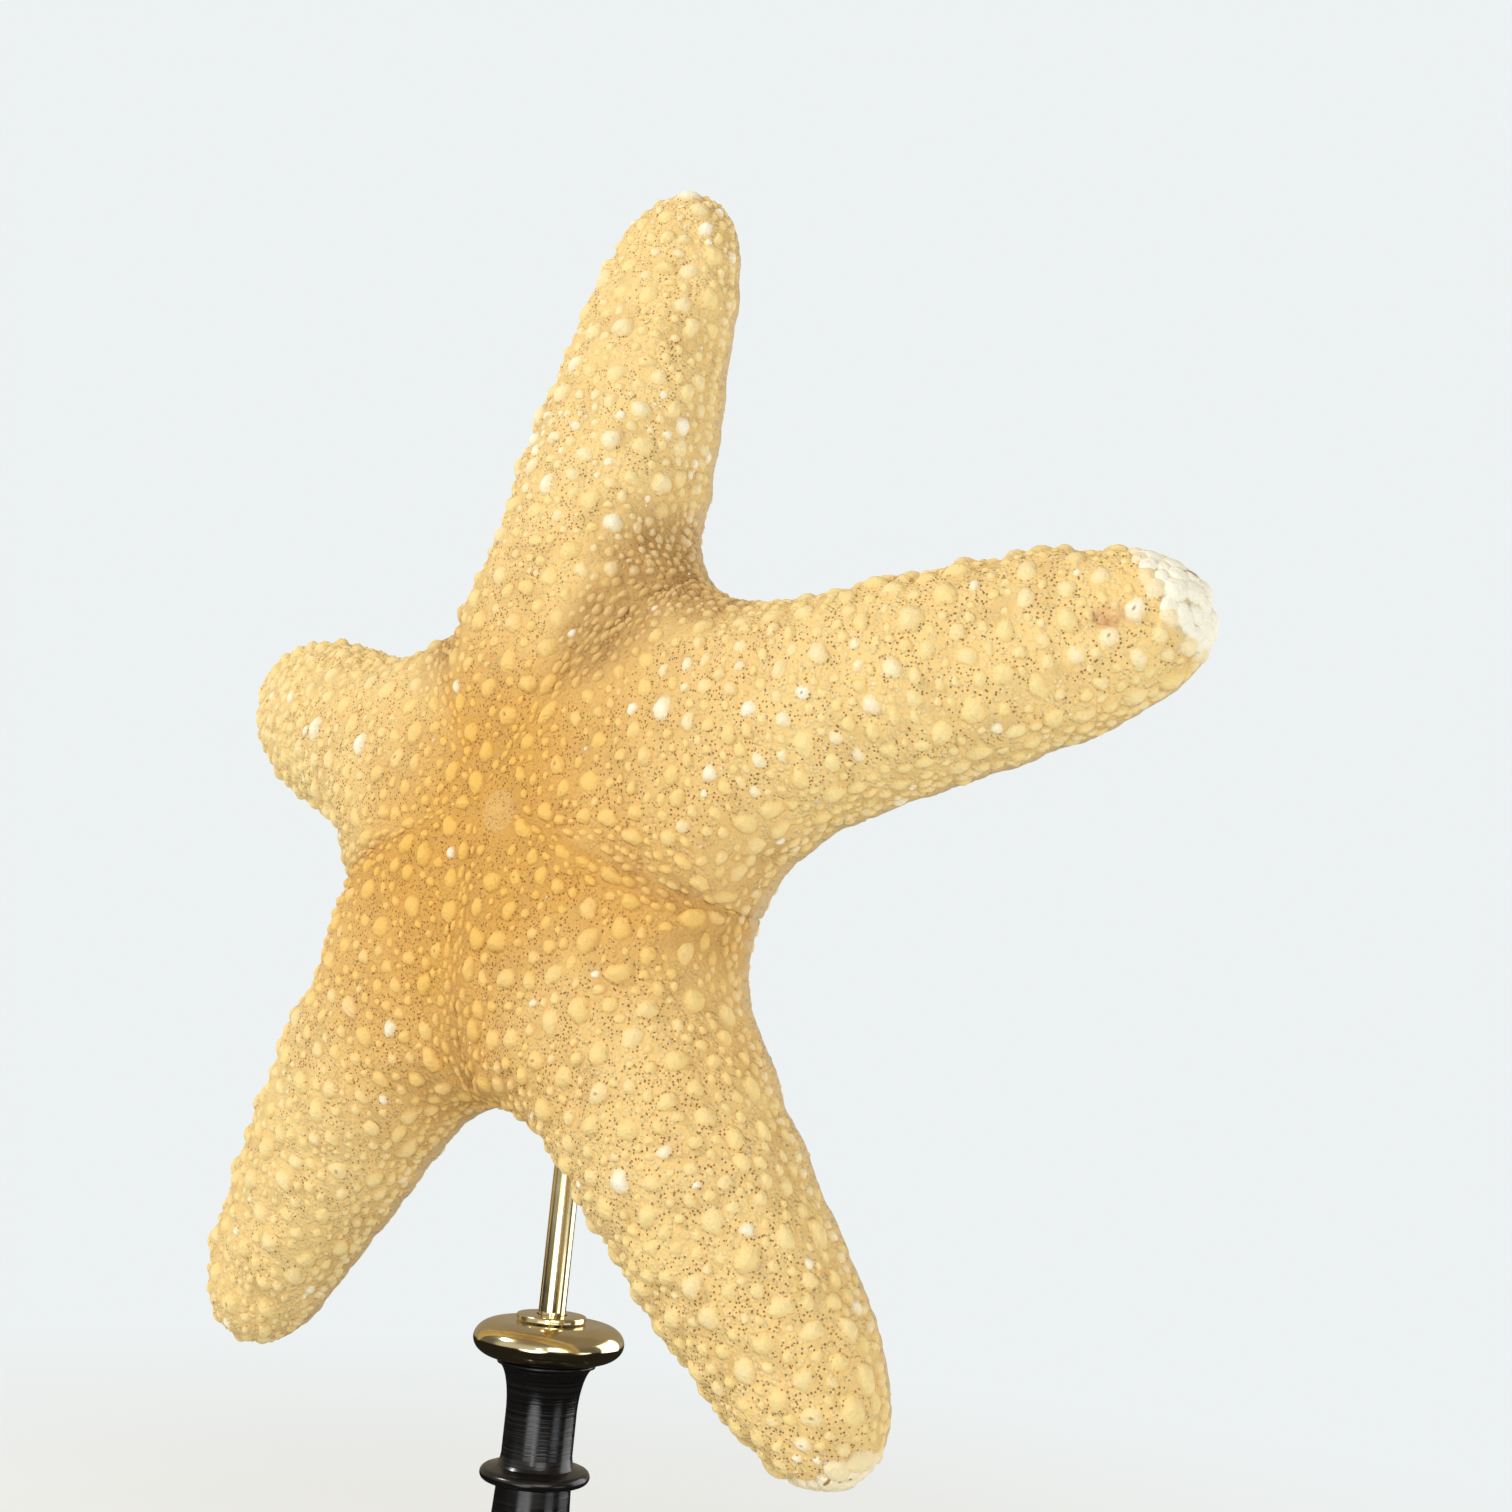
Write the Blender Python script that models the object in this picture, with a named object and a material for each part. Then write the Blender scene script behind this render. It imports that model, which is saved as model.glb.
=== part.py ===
"""A dried starfish held upright on a turned stand, at its real size in metres with +Z up.

The starfish shows its upper side to -Y. A brass rod rises behind it from a brass collar, bends
forward and ends in its mouth. The collar sits on a black turned stem, which stands in a round foot.
The origin is the centre of the foot's underside.
"""

import math
import random

import bmesh
import bpy
from mathutils import Matrix, Vector

# Gaps and the depth of a seat, between pieces that touch
GAP = 0.0003

# Starfish: the form that its five arms share
ARM_LENGTH = 0.120
NOTCH_RADIUS = 0.426 * ARM_LENGTH
WEDGE = math.radians(36)
NOTCH_REACH = NOTCH_RADIUS * math.cos(WEDGE)
HALF_WIDTHS = ((0.50, 0.163), (0.70, 0.143), (0.85, 0.122), (0.95, 0.090), (1.00, 0.078))
HEIGHTS = ((0.0, 0.200), (0.25, 0.198), (0.50, 0.183), (0.75, 0.136), (0.90, 0.108), (1.0, 0.098))
RIM_SHARE = 0.235
SECTION_POWER = 0.9
UNDERSIDE_POWER = 0.5
TIP_ROUNDING = 0.082

# Starfish: turn, length, curl towards the underside, sideways sway and width of each arm
ARMS = (
    {"name": "top", "turn": -2.7, "stretch": 1.012, "curl": 0.03, "sway": -0.0038, "girth": 1.10},
    {"name": "left", "turn": 1.7, "stretch": 0.965, "curl": -0.40, "sway": -0.0009, "girth": 0.93},
    {"name": "lower_left", "turn": 0.3, "stretch": 1.015, "curl": -0.04, "sway": 0.0019, "girth": 1.09},
    {"name": "lower_right", "turn": 1.7, "stretch": 1.000, "curl": -0.24, "sway": -0.0008, "girth": 1.00},
    {"name": "right", "turn": -0.9, "stretch": 1.008, "curl": -0.27, "sway": -0.0009, "girth": 0.975},
)

# Starfish: azimuth, radius, inward pull and spread of the hollows beside the left arm
HOLLOWS = ((130, 0.051, 0.0065, 0.020), (190, 0.054, 0.0040, 0.016))

# Starfish: lumps on the upper side, groove under each arm, mouth
DISC_CELLS = 5
ARM_ROWS = 13
TIP_ROWS = 4
UNDER_COLUMNS = (-1.0, -0.60, -0.22, 0.0, 0.22, 0.60, 1.0)
UNDER_DISC_ROWS = 4
LUMP_HEIGHTS = (0.0004, 0.0013)
GROOVE_DEPTH = 0.0045
GROOVE_HALF_WIDTH = 0.0042
MOUTH_RADIUS = 0.0062
MOUTH_RISE = 0.0012
SOCKET_RADIUS = 0.0030
SOCKET_LIP = 0.0040
SOCKET_DEPTH = 0.0125
MERGE = 0.00005

# Starfish: place on the stand
STAR_CENTRE = Vector((0.0, -0.0076, 0.1660))
STAR_LEAN = math.radians(1.5)
STAR_SPIN = math.radians(-2.2)

# Stand: heights of its pieces
FOOT_HEIGHT = 0.0140
COLLAR_MIDDLE = 0.0759
COLLAR_THICKNESS = 0.0062
WASHER_THICKNESS = 0.0009
STEM_TOP = COLLAR_MIDDLE - COLLAR_THICKNESS / 2 - GAP
STEM_SHOULDER = FOOT_HEIGHT + GAP
FLANGE_MIDDLE = COLLAR_MIDDLE - 0.0220

# Stand: radii of its pieces
ROD_RADIUS = 0.0024
BORE_RADIUS = ROD_RADIUS + GAP
WASHER_RADIUS = 0.0061
COLLAR_RADIUS = 0.0132
STEM_FLARE_RADIUS = 0.00865
STEM_NECK_RADIUS = 0.00615
FLANGE_RADIUS = 0.0095
FLANGE_THICKNESS = 0.0020
STEM_BELLY_RADIUS = 0.0070
STEM_ANKLE_RADIUS = 0.0058
BEAD_RADIUS = 0.0086
TENON_RADIUS = 0.0040
FOOT_RADIUS = 0.0480
FOOT_EDGE_HEIGHT = 0.0056
FOOT_TOP_RADIUS = 0.0135

# Stand: what sits inside what
ROD_SEAT = 0.0140
TENON_LENGTH = 0.0080
ROD_BEND_RADIUS = 0.0052
ROD_REACH = 0.0115

# Finishes: colour, roughness, metallic
FINISHES = {
    "star_skin": ((0.80, 0.60, 0.28), 0.75, 0.0),
    "polished_brass": ((0.80, 0.62, 0.30), 0.18, 1.0),
    "black_wood": ((0.012, 0.011, 0.011), 0.38, 0.0),
}


def clear_scene():
    """Remove every object that the file opened with."""
    for item in list(bpy.data.objects):
        bpy.data.objects.remove(item, do_unlink=True)


def finish_material(name):
    """Principled material of one finish."""
    colour, roughness, metallic = FINISHES[name]
    material = bpy.data.materials.new(name)
    material.use_nodes = True
    shader = material.node_tree.nodes["Principled BSDF"]
    shader.inputs["Base Color"].default_value = (*colour, 1.0)
    shader.inputs["Roughness"].default_value = roughness
    shader.inputs["Metallic"].default_value = metallic
    material.diffuse_color = (*colour, 1.0)
    return material


def add_piece(name, bm, material, smooth=False):
    """Turn a bmesh into a named object with one material."""
    bmesh.ops.recalc_face_normals(bm, faces=bm.faces)
    for face in bm.faces:
        face.smooth = smooth
    mesh = bpy.data.meshes.new(name)
    bm.to_mesh(mesh)
    bm.free()
    mesh.materials.append(material)
    piece = bpy.data.objects.new(name, mesh)
    bpy.context.scene.collection.objects.link(piece)
    return piece


def ease(low, high, value):
    """Smooth step from 0 at low to 1 at high."""
    share = min(max((value - low) / (high - low), 0.0), 1.0)
    return share * share * (3 - 2 * share)


def along(stations, reach):
    """Value at reach on a smooth curve through (reach, value) stations."""
    last = len(stations) - 1
    if reach <= stations[0][0]:
        return stations[0][1]
    for index in range(last):
        (x0, y0), (x1, y1) = stations[index], stations[index + 1]
        if reach <= x1:
            break
    before = stations[max(index - 1, 0)]
    after = stations[min(index + 2, last)]
    slope_0 = (y1 - before[1]) / (x1 - before[0])
    slope_1 = (after[1] - y0) / (after[0] - x0)
    span = x1 - x0
    u = (min(reach, x1) - x0) / span
    start = y0 * (1 + 2 * u) * (1 - u) ** 2 + span * slope_0 * u * (1 - u) ** 2
    end = y1 * u * u * (3 - 2 * u) + span * slope_1 * u * u * (u - 1)
    return start + end


def half_width(s):
    """Half the width of an arm at share s of its length, with the round notch between two arms."""
    slope = math.tan(WEDGE)
    root = HALF_WIDTHS[0][1]
    notch = NOTCH_RADIUS / ARM_LENGTH
    fillet_end = (notch - root) / (1 / math.cos(WEDGE) - slope)
    fillet_radius = fillet_end * slope - root
    x = max(s, NOTCH_REACH / ARM_LENGTH)
    width = along(HALF_WIDTHS, s)
    if x < fillet_end:
        fillet = fillet_end * slope - math.sqrt(fillet_radius ** 2 - (x - fillet_end) ** 2)
        width = max(width, fillet)
    return width * ARM_LENGTH


def section_point(s, t, upper):
    """Across and height of a point on an arm: s along it, t from -1 to 1 around the section."""
    start = 1 - TIP_ROUNDING
    cap = math.sqrt(max(1 - max((s - start) / TIP_ROUNDING, 0.0) ** 2, 0.0))
    wide = half_width(s)
    top = along(HEIGHTS, s) * ARM_LENGTH
    rim = RIM_SHARE * top
    border = min(s * ARM_LENGTH * math.tan(WEDGE), wide)
    if s * ARM_LENGTH >= NOTCH_REACH - MERGE:
        border = wide
    opening = math.acos(min(max(border / wide, 0.0), 1.0) ** (1 / SECTION_POWER))
    angle = math.pi / 2 - t * (math.pi / 2 - opening)
    cosine = math.cos(angle)
    sine = max(math.sin(angle), 0.0)
    across = math.copysign(abs(cosine) ** SECTION_POWER, cosine) * wide * cap
    if upper:
        return across, rim + (top - rim) * cap ** 0.8 * sine ** SECTION_POWER
    return across, rim * (1 - cap ** 0.8 * sine ** UNDERSIDE_POWER)


def arm_point(arm, s, across, height):
    """Put a point of one arm in the starfish's frame, with the arm's own turn, curl and sway."""
    root = NOTCH_REACH / ARM_LENGTH
    outer = max((s - root) / (1 - root), 0.0)
    grown = (arm["stretch"] - root) / (1 - root)
    run = outer * (1 - root) * grown * ARM_LENGTH
    full = (1 - root) * grown * ARM_LENGTH
    bend = arm["curl"] * outer
    sweep = arm["curl"] / full
    reach = s * ARM_LENGTH if outer == 0 else NOTCH_REACH + math.sin(sweep * run) / sweep
    lift = 0.0 if outer == 0 else (1 - math.cos(sweep * run)) / sweep
    settle = ease(root, 0.52, s)
    across *= 1 + (arm["girth"] - 1) * settle
    across += s * ARM_LENGTH * math.tan(math.radians(arm["turn"])) * settle
    across += arm["sway"] * outer ** 2
    reach -= math.sin(bend) * height
    lift += math.cos(bend) * height
    return Vector((reach, across, lift))


def pull_hollows(point):
    """Draw the skin inwards beside the left arm, where its root is slimmer than the others."""
    for azimuth, radius, pull, spread in HOLLOWS:
        out = Vector((math.cos(math.radians(azimuth)), math.sin(math.radians(azimuth)), 0))
        away = Vector((point.x, point.y, 0)) - out * radius
        point = point - out * pull * math.exp(-(away.length / spread) ** 2)
    return point


def star_point(index, s, t, upper):
    """Point of the skin on arm number index, in the starfish's own frame."""
    across, height = section_point(s, t, upper)
    if not upper:
        groove = GROOVE_DEPTH * max(1 - (across / GROOVE_HALF_WIDTH) ** 2, 0.0)
        height += groove * ease(MOUTH_RADIUS, 3 * MOUTH_RADIUS, s * ARM_LENGTH) * (1 - ease(0.93, 1.0, s))
    point = arm_point(ARMS[index], s, across, height)
    return pull_hollows(Matrix.Rotation(math.radians(90 + 72 * index), 3, "Z") @ point)


def add_patch(bm, columns, rows, place):
    """Add a grid of quads and put each of its points by the function place(u, v)."""
    grid = bmesh.ops.create_grid(bm, x_segments=columns, y_segments=rows, size=1)
    for vert in grid["verts"]:
        vert.co = place((vert.co.x + 1) / 2, (vert.co.y + 1) / 2)
    return {face for vert in grid["verts"] for face in vert.link_faces}


def add_disc_share(bm, index):
    """Add one arm's share of the disc: a triangle from centre to notches, as three quad patches."""
    root = NOTCH_REACH / ARM_LENGTH
    centre = Vector((0, 0))
    notch_a = Vector((root, 1))
    notch_b = Vector((root, -1))
    base = Vector((root, 0))
    corners = {"middle": Vector((root * 2 / 3, 0)), "side_a": notch_a / 2, "side_b": notch_b / 2}
    patches = (
        (centre, corners["side_a"], corners["middle"], corners["side_b"]),
        (notch_a, base, corners["middle"], corners["side_a"]),
        (notch_b, corners["side_b"], corners["middle"], base),
    )
    faces = set()
    for a, b, c, d in patches:
        def place(u, v, a=a, b=b, c=c, d=d):
            flat = (a * (1 - u) + b * u) * (1 - v) + (d * (1 - u) + c * u) * v
            s = flat.x
            t = flat.y * root / s if s > 1e-6 else 0.0
            return star_point(index, s, min(max(t, -1.0), 1.0), True)
        faces |= add_patch(bm, DISC_CELLS, DISC_CELLS, place)
    return faces


def row_reach(row):
    """Share of the arm's length at one row of the arm, counted from the notch to the tip."""
    root = NOTCH_REACH / ARM_LENGTH
    start = 1 - TIP_ROUNDING
    if row <= ARM_ROWS:
        return root + (start - root) * row / ARM_ROWS
    return start + TIP_ROUNDING * math.sin(math.pi / 2 * (row - ARM_ROWS) / TIP_ROWS)


def add_arm_top(bm, index):
    """Add the upper side of one arm, from the line between its notches to its tip."""
    rows = ARM_ROWS + TIP_ROWS

    def place(u, v):
        return star_point(index, row_reach(round(v * rows)), 2 * u - 1, True)
    return add_patch(bm, 2 * DISC_CELLS, rows, place)


def add_underside(bm, index):
    """Add one arm's share of the underside, from the mouth's ring to the tip."""
    root = NOTCH_REACH / ARM_LENGTH
    mouth = MOUTH_RADIUS / ARM_LENGTH
    columns = len(UNDER_COLUMNS) - 1
    rows = UNDER_DISC_ROWS + ARM_ROWS + TIP_ROWS

    def place(u, v):
        t = UNDER_COLUMNS[round(u * columns)]
        row = round(v * rows) - UNDER_DISC_ROWS
        if row >= 0:
            return star_point(index, row_reach(row), t, False)
        share = -row / UNDER_DISC_ROWS
        s = root + (mouth - root) * share
        roundness = share ** 2
        s *= 1 - roundness * (1 - math.cos(math.atan(t * math.tan(WEDGE))))
        return star_point(index, s, t, False)
    return add_patch(bm, columns, rows, place)


def sink_mouth(bm):
    """Extrude the open ring round the mouth into a blind socket for the rod's end."""
    ring = [edge for edge in bm.edges if edge.is_boundary]
    steps = ((SOCKET_RADIUS, SOCKET_LIP), (SOCKET_RADIUS, SOCKET_DEPTH))
    for vert in {vert for edge in ring for vert in edge.verts}:
        vert.co.z = MOUTH_RISE
    for radius, height in steps:
        grown = bmesh.ops.extrude_edge_only(bm, edges=ring)["geom"]
        ring = [item for item in grown if isinstance(item, bmesh.types.BMEdge)]
        for vert in {vert for edge in ring for vert in edge.verts}:
            flat = vert.co.xy.normalized() * radius
            vert.co = Vector((flat.x, flat.y, height))
    bmesh.ops.contextual_create(bm, geom=ring)


def raise_lumps(bm, faces):
    """Poke each quad of the upper side, so that every one carries a blunt lump of its own."""
    chance = random.Random(7)
    ordered = sorted(faces, key=lambda face: tuple(round(c, 5) for c in face.calc_center_median()))
    for face in ordered:
        size = math.sqrt(face.calc_area()) / 0.0045
        height = chance.uniform(*LUMP_HEIGHTS) * min(size, 1.0)
        bmesh.ops.poke(bm, faces=[face], offset=height, center_mode="MEAN")


def build_starfish(material):
    """The whole starfish as one closed skin, with its lumps, grooves and mouth."""
    bm = bmesh.new()
    for index in range(len(ARMS)):
        add_disc_share(bm, index)
        add_arm_top(bm, index)
        add_underside(bm, index)
    bmesh.ops.remove_doubles(bm, verts=bm.verts, dist=MERGE)
    sink_mouth(bm)
    bmesh.ops.recalc_face_normals(bm, faces=bm.faces)
    upper = [face for face in bm.faces if face.calc_center_median().z > 0.0]
    upper = [face for face in upper if face.normal.z > 0.12 and len(face.verts) <= 4]
    raise_lumps(bm, upper)
    bmesh.ops.triangulate(bm, faces=[face for face in bm.faces if len(face.verts) > 4])
    stand_up = Matrix.Rotation(math.radians(90) - STAR_LEAN, 4, "X")
    spin = Matrix.Rotation(STAR_SPIN, 4, "Z")
    place = Matrix.Translation(STAR_CENTRE) @ stand_up @ spin
    bmesh.ops.transform(bm, matrix=place, verts=bm.verts)
    return add_piece("starfish", bm, material)


def arc(middle, radius, start, end, count):
    """Points of an arc in a turned profile, as (radius from the axis, height)."""
    points = []
    for step in range(count + 1):
        angle = math.radians(start + (end - start) * step / count)
        points.append((middle[0] + radius[0] * math.cos(angle), middle[1] + radius[1] * math.sin(angle)))
    return points


def turn_piece(name, profile, material, steps, closed):
    """Turn a profile of (radius, height) about the stand's axis."""
    bm = bmesh.new()
    verts = [bm.verts.new((radius, 0, height)) for radius, height in profile]
    pairs = list(zip(verts, verts[1:]))
    if closed:
        pairs.append((verts[-1], verts[0]))
    edges = [bm.edges.new(pair) for pair in pairs]
    bmesh.ops.spin(
        bm, geom=verts + edges, cent=(0, 0, 0), axis=(0, 0, 1), angle=2 * math.pi,
        steps=steps, use_merge=True,
    )
    bmesh.ops.remove_doubles(bm, verts=bm.verts, dist=MERGE / 5)
    return add_piece(name, bm, material)


def build_washer(material):
    """Thin round washer that the rod passes through, on top of the collar."""
    low = COLLAR_MIDDLE + COLLAR_THICKNESS / 2 + GAP
    high = low + WASHER_THICKNESS
    bevel = WASHER_THICKNESS / 3
    profile = [
        (BORE_RADIUS, low), (WASHER_RADIUS, low), (WASHER_RADIUS, high - bevel),
        (WASHER_RADIUS - bevel, high), (BORE_RADIUS, high),
    ]
    return turn_piece("stand_washer", profile, material, 24, True)


def build_collar(material):
    """Bun-shaped collar with a round edge, bored for the rod."""
    half = COLLAR_THICKNESS / 2
    middle = (COLLAR_RADIUS - half, COLLAR_MIDDLE)
    profile = [(BORE_RADIUS, COLLAR_MIDDLE - half)]
    profile += arc(middle, (half, half), -90, 90, 8)
    profile.append((BORE_RADIUS, COLLAR_MIDDLE + half))
    return turn_piece("stand_collar", profile, material, 32, True)


def stem_profile():
    """Outline of the stem, from the bottom of its tenon up to the bottom of the rod's hole."""
    bottom = FOOT_HEIGHT - TENON_LENGTH + GAP
    half = FLANGE_THICKNESS / 2
    bead = (BEAD_RADIUS - 0.0016, STEM_SHOULDER + 0.0016)
    profile = [(0, bottom), (TENON_RADIUS, bottom), (TENON_RADIUS, STEM_SHOULDER)]
    profile += arc(bead, (0.0016, 0.0016), -90, 90, 4)
    profile.append((STEM_ANKLE_RADIUS, STEM_SHOULDER + 0.0044))
    profile.append((STEM_BELLY_RADIUS, FLANGE_MIDDLE - 0.0180))
    profile.append((STEM_NECK_RADIUS + 0.0003, FLANGE_MIDDLE - half - 0.0002))
    profile += arc((FLANGE_RADIUS - half, FLANGE_MIDDLE), (half, half), -90, 90, 4)
    profile.append((STEM_NECK_RADIUS + 0.0006, FLANGE_MIDDLE + half + 0.0004))
    profile.append((STEM_NECK_RADIUS, FLANGE_MIDDLE + half + 0.0022))
    flare = (STEM_FLARE_RADIUS, STEM_TOP - 0.0085)
    profile += arc(flare, (STEM_FLARE_RADIUS - STEM_NECK_RADIUS, 0.0066), 180, 90, 4)
    profile.append((STEM_FLARE_RADIUS, STEM_TOP - 0.0004))
    profile.append((STEM_FLARE_RADIUS - 0.0004, STEM_TOP))
    profile.append((BORE_RADIUS, STEM_TOP))
    profile.append((BORE_RADIUS, STEM_TOP - ROD_SEAT - GAP))
    profile.append((0, STEM_TOP - ROD_SEAT - GAP))
    return profile


def build_stem(material):
    """Turned stem with a flared top, a thin flange, a bead and a tenon."""
    return turn_piece("stand_stem", stem_profile(), material, 24, False)


def build_foot(material):
    """Round turned foot with a blind hole for the stem's tenon."""
    hole = TENON_RADIUS + GAP
    edge = FOOT_EDGE_HEIGHT / 2
    profile = [(0, 0), (FOOT_RADIUS - 0.0012, 0), (FOOT_RADIUS, 0.0012)]
    profile += arc((FOOT_RADIUS - edge, edge + 0.0008), (edge, edge), 0, 90, 3)
    profile.append((FOOT_RADIUS - edge - 0.0010, FOOT_EDGE_HEIGHT + 0.0018))
    rise = FOOT_HEIGHT - FOOT_EDGE_HEIGHT - 0.0018
    run = FOOT_RADIUS - edge - 0.0010 - FOOT_TOP_RADIUS
    top = (FOOT_TOP_RADIUS + run, FOOT_HEIGHT)
    profile += arc(top, (run, rise), 268, 182, 5)
    profile.append((FOOT_TOP_RADIUS - 0.0005, FOOT_HEIGHT))
    profile += [(hole, FOOT_HEIGHT), (hole, FOOT_HEIGHT - TENON_LENGTH), (0, FOOT_HEIGHT - TENON_LENGTH)]
    return turn_piece("stand_foot", profile, material, 40, False)


def build_rod(material):
    """Straight rod behind the starfish, with its top bent forward into the mouth."""
    bottom = STEM_TOP - ROD_SEAT
    level = STAR_CENTRE.z
    path = [Vector((0, 0, bottom)), Vector((0, 0, level - ROD_BEND_RADIUS))]
    for step in range(1, 7):
        angle = math.radians(15 * step)
        back = ROD_BEND_RADIUS * (1 - math.cos(angle))
        rise = ROD_BEND_RADIUS * math.sin(angle)
        path.append(Vector((0, -back, level - ROD_BEND_RADIUS + rise)))
    lean = Vector((0, -math.cos(STAR_LEAN), math.sin(STAR_LEAN)))
    path[-1] = Vector((0, -ROD_BEND_RADIUS, level))
    path.append(STAR_CENTRE + lean * ROD_REACH)
    curve = bpy.data.curves.new("stand_rod", "CURVE")
    curve.dimensions = "3D"
    curve.bevel_depth = ROD_RADIUS
    curve.bevel_resolution = 2
    curve.use_fill_caps = True
    spline = curve.splines.new("POLY")
    spline.points.add(len(path) - 1)
    for point, place in zip(spline.points, path):
        point.co = (*place, 1.0)
    curve.materials.append(material)
    rod = bpy.data.objects.new("stand_rod", curve)
    bpy.context.scene.collection.objects.link(rod)
    return rod


def build_all():
    """Make every piece of the starfish and its stand."""
    clear_scene()
    skin = finish_material("star_skin")
    brass = finish_material("polished_brass")
    wood = finish_material("black_wood")
    build_starfish(skin)
    build_rod(brass)
    build_washer(brass)
    build_collar(brass)
    build_stem(wood)
    build_foot(wood)


build_all()
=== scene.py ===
# %% [markdown]
# # A dried starfish on its turned stand
#
# The construction model holds the pieces at their real size. This script dresses them: the
# starfish gets its real skin, with thousands of blunt knobs, and the stand gets polished brass
# and black turned wood. Every length is in metres and every piece stays where the frame has it.

# %% Load the frame
import bpy
import bmesh
import math
import random
from mathutils import Matrix, Vector, noise


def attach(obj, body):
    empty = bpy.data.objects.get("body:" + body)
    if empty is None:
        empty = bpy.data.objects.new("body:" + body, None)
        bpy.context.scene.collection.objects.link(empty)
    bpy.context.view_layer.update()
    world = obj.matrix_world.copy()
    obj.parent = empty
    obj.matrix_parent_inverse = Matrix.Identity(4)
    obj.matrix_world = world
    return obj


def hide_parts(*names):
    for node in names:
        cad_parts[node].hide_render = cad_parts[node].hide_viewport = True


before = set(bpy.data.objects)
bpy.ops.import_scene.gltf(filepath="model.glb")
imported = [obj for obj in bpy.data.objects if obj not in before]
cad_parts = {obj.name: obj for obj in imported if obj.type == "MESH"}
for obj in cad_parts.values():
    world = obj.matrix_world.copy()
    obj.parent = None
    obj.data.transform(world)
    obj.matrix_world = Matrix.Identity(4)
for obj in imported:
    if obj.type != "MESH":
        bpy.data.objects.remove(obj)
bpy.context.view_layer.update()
print("nodes in the frame:", sorted(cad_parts))

# %% [markdown]
# ## The form of the starfish
#
# Five arms grow from one disc, and all share one shape: a half width and a height for each share
# of the arm's length, and a round notch between two arms. A real arm is high and rounded above
# and nearly flat below. It could be sculpted freely, but then nothing could be set on it by
# number. Here the form is a function instead: it takes an arm, a share s of the way out along it
# and a place t from -1 to 1 across it, and gives a point. Skin, knobs and spines all ask it where
# they belong. Its values are those of the construction model, so that the dressed skin lies
# where the plain solid lies, and smooth noise adds the low lumps that a dried arm has.

# %% Sizes of the starfish
ARM_LENGTH = 0.120
NOTCH_RADIUS = 0.426 * ARM_LENGTH
WEDGE = math.radians(36)
NOTCH_REACH = NOTCH_RADIUS * math.cos(WEDGE)
ROOT = NOTCH_REACH / ARM_LENGTH
HALF_WIDTHS = ((0.50, 0.163), (0.70, 0.143), (0.85, 0.122), (0.95, 0.090), (1.00, 0.078))
HEIGHTS = ((0.0, 0.200), (0.25, 0.198), (0.50, 0.183), (0.75, 0.136), (0.90, 0.108), (1.0, 0.098))
RIM_SHARE = 0.235
SECTION_POWER = 0.9
UNDERSIDE_POWER = 0.5
TIP_ROUNDING = 0.082
VALLEY_SOFTNESS = 0.012
LUMPS = 165.0
LUMP_HEIGHT = 0.0008
ARMS = (
    {"name": "top", "turn": -2.7, "stretch": 1.012, "curl": 0.03, "sway": -0.0038, "girth": 1.10},
    {"name": "left", "turn": 1.7, "stretch": 0.965, "curl": -0.40, "sway": -0.0009, "girth": 0.93},
    {"name": "lower_left", "turn": 0.3, "stretch": 1.015, "curl": -0.04, "sway": 0.0019, "girth": 1.09},
    {"name": "lower_right", "turn": 1.7, "stretch": 1.000, "curl": -0.24, "sway": -0.0008, "girth": 1.00},
    {"name": "right", "turn": -0.9, "stretch": 1.008, "curl": -0.27, "sway": -0.0009, "girth": 0.975},
)
HOLLOWS = ((130, 0.051, 0.0065, 0.020), (190, 0.054, 0.0040, 0.016))
GROOVE_DEPTH = 0.0045
GROOVE_HALF_WIDTH = 0.0042
MOUTH_RADIUS = 0.0062
STAR_CENTRE = Vector((0.0, -0.0076, 0.1660))
STAR_LEAN = math.radians(1.5)
STAR_SPIN = math.radians(-2.2)
STAND_UP = Matrix.Rotation(math.radians(90) - STAR_LEAN, 4, "X") @ Matrix.Rotation(STAR_SPIN, 4, "Z")
STAR_PLACE = Matrix.Translation(STAR_CENTRE) @ STAND_UP
print("starfish about", round(2000 * ARM_LENGTH), "mm across")


# %% Curves through stations
def ease(low, high, value):
    """Smooth step from 0 at low to 1 at high."""
    share = min(max((value - low) / (high - low), 0.0), 1.0)
    return share * share * (3 - 2 * share)


def along(stations, reach):
    """Value at reach on a smooth curve through (reach, value) stations."""
    last = len(stations) - 1
    if reach <= stations[0][0]:
        return stations[0][1]
    for index in range(last):
        (x0, y0), (x1, y1) = stations[index], stations[index + 1]
        if reach <= x1:
            break
    before = stations[max(index - 1, 0)]
    after = stations[min(index + 2, last)]
    slope_0 = (y1 - before[1]) / (x1 - before[0])
    slope_1 = (after[1] - y0) / (after[0] - x0)
    span = x1 - x0
    u = (min(reach, x1) - x0) / span
    start = y0 * (1 + 2 * u) * (1 - u) ** 2 + span * slope_0 * u * (1 - u) ** 2
    end = y1 * u * u * (3 - 2 * u) + span * slope_1 * u * u * (u - 1)
    return start + end


# %% Section of an arm
FILLET_END = (0.426 - HALF_WIDTHS[0][1]) / (1 / math.cos(WEDGE) - math.tan(WEDGE))
FILLET_RADIUS = FILLET_END * math.tan(WEDGE) - HALF_WIDTHS[0][1]


def half_width(s):
    """Half the width of an arm at share s of its length, with the round notch between two arms."""
    x = max(s, ROOT)
    width = along(HALF_WIDTHS, s)
    if x < FILLET_END:
        fillet = FILLET_END * math.tan(WEDGE) - math.sqrt(FILLET_RADIUS ** 2 - (x - FILLET_END) ** 2)
        width = max(width, fillet)
    return width * ARM_LENGTH


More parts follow.
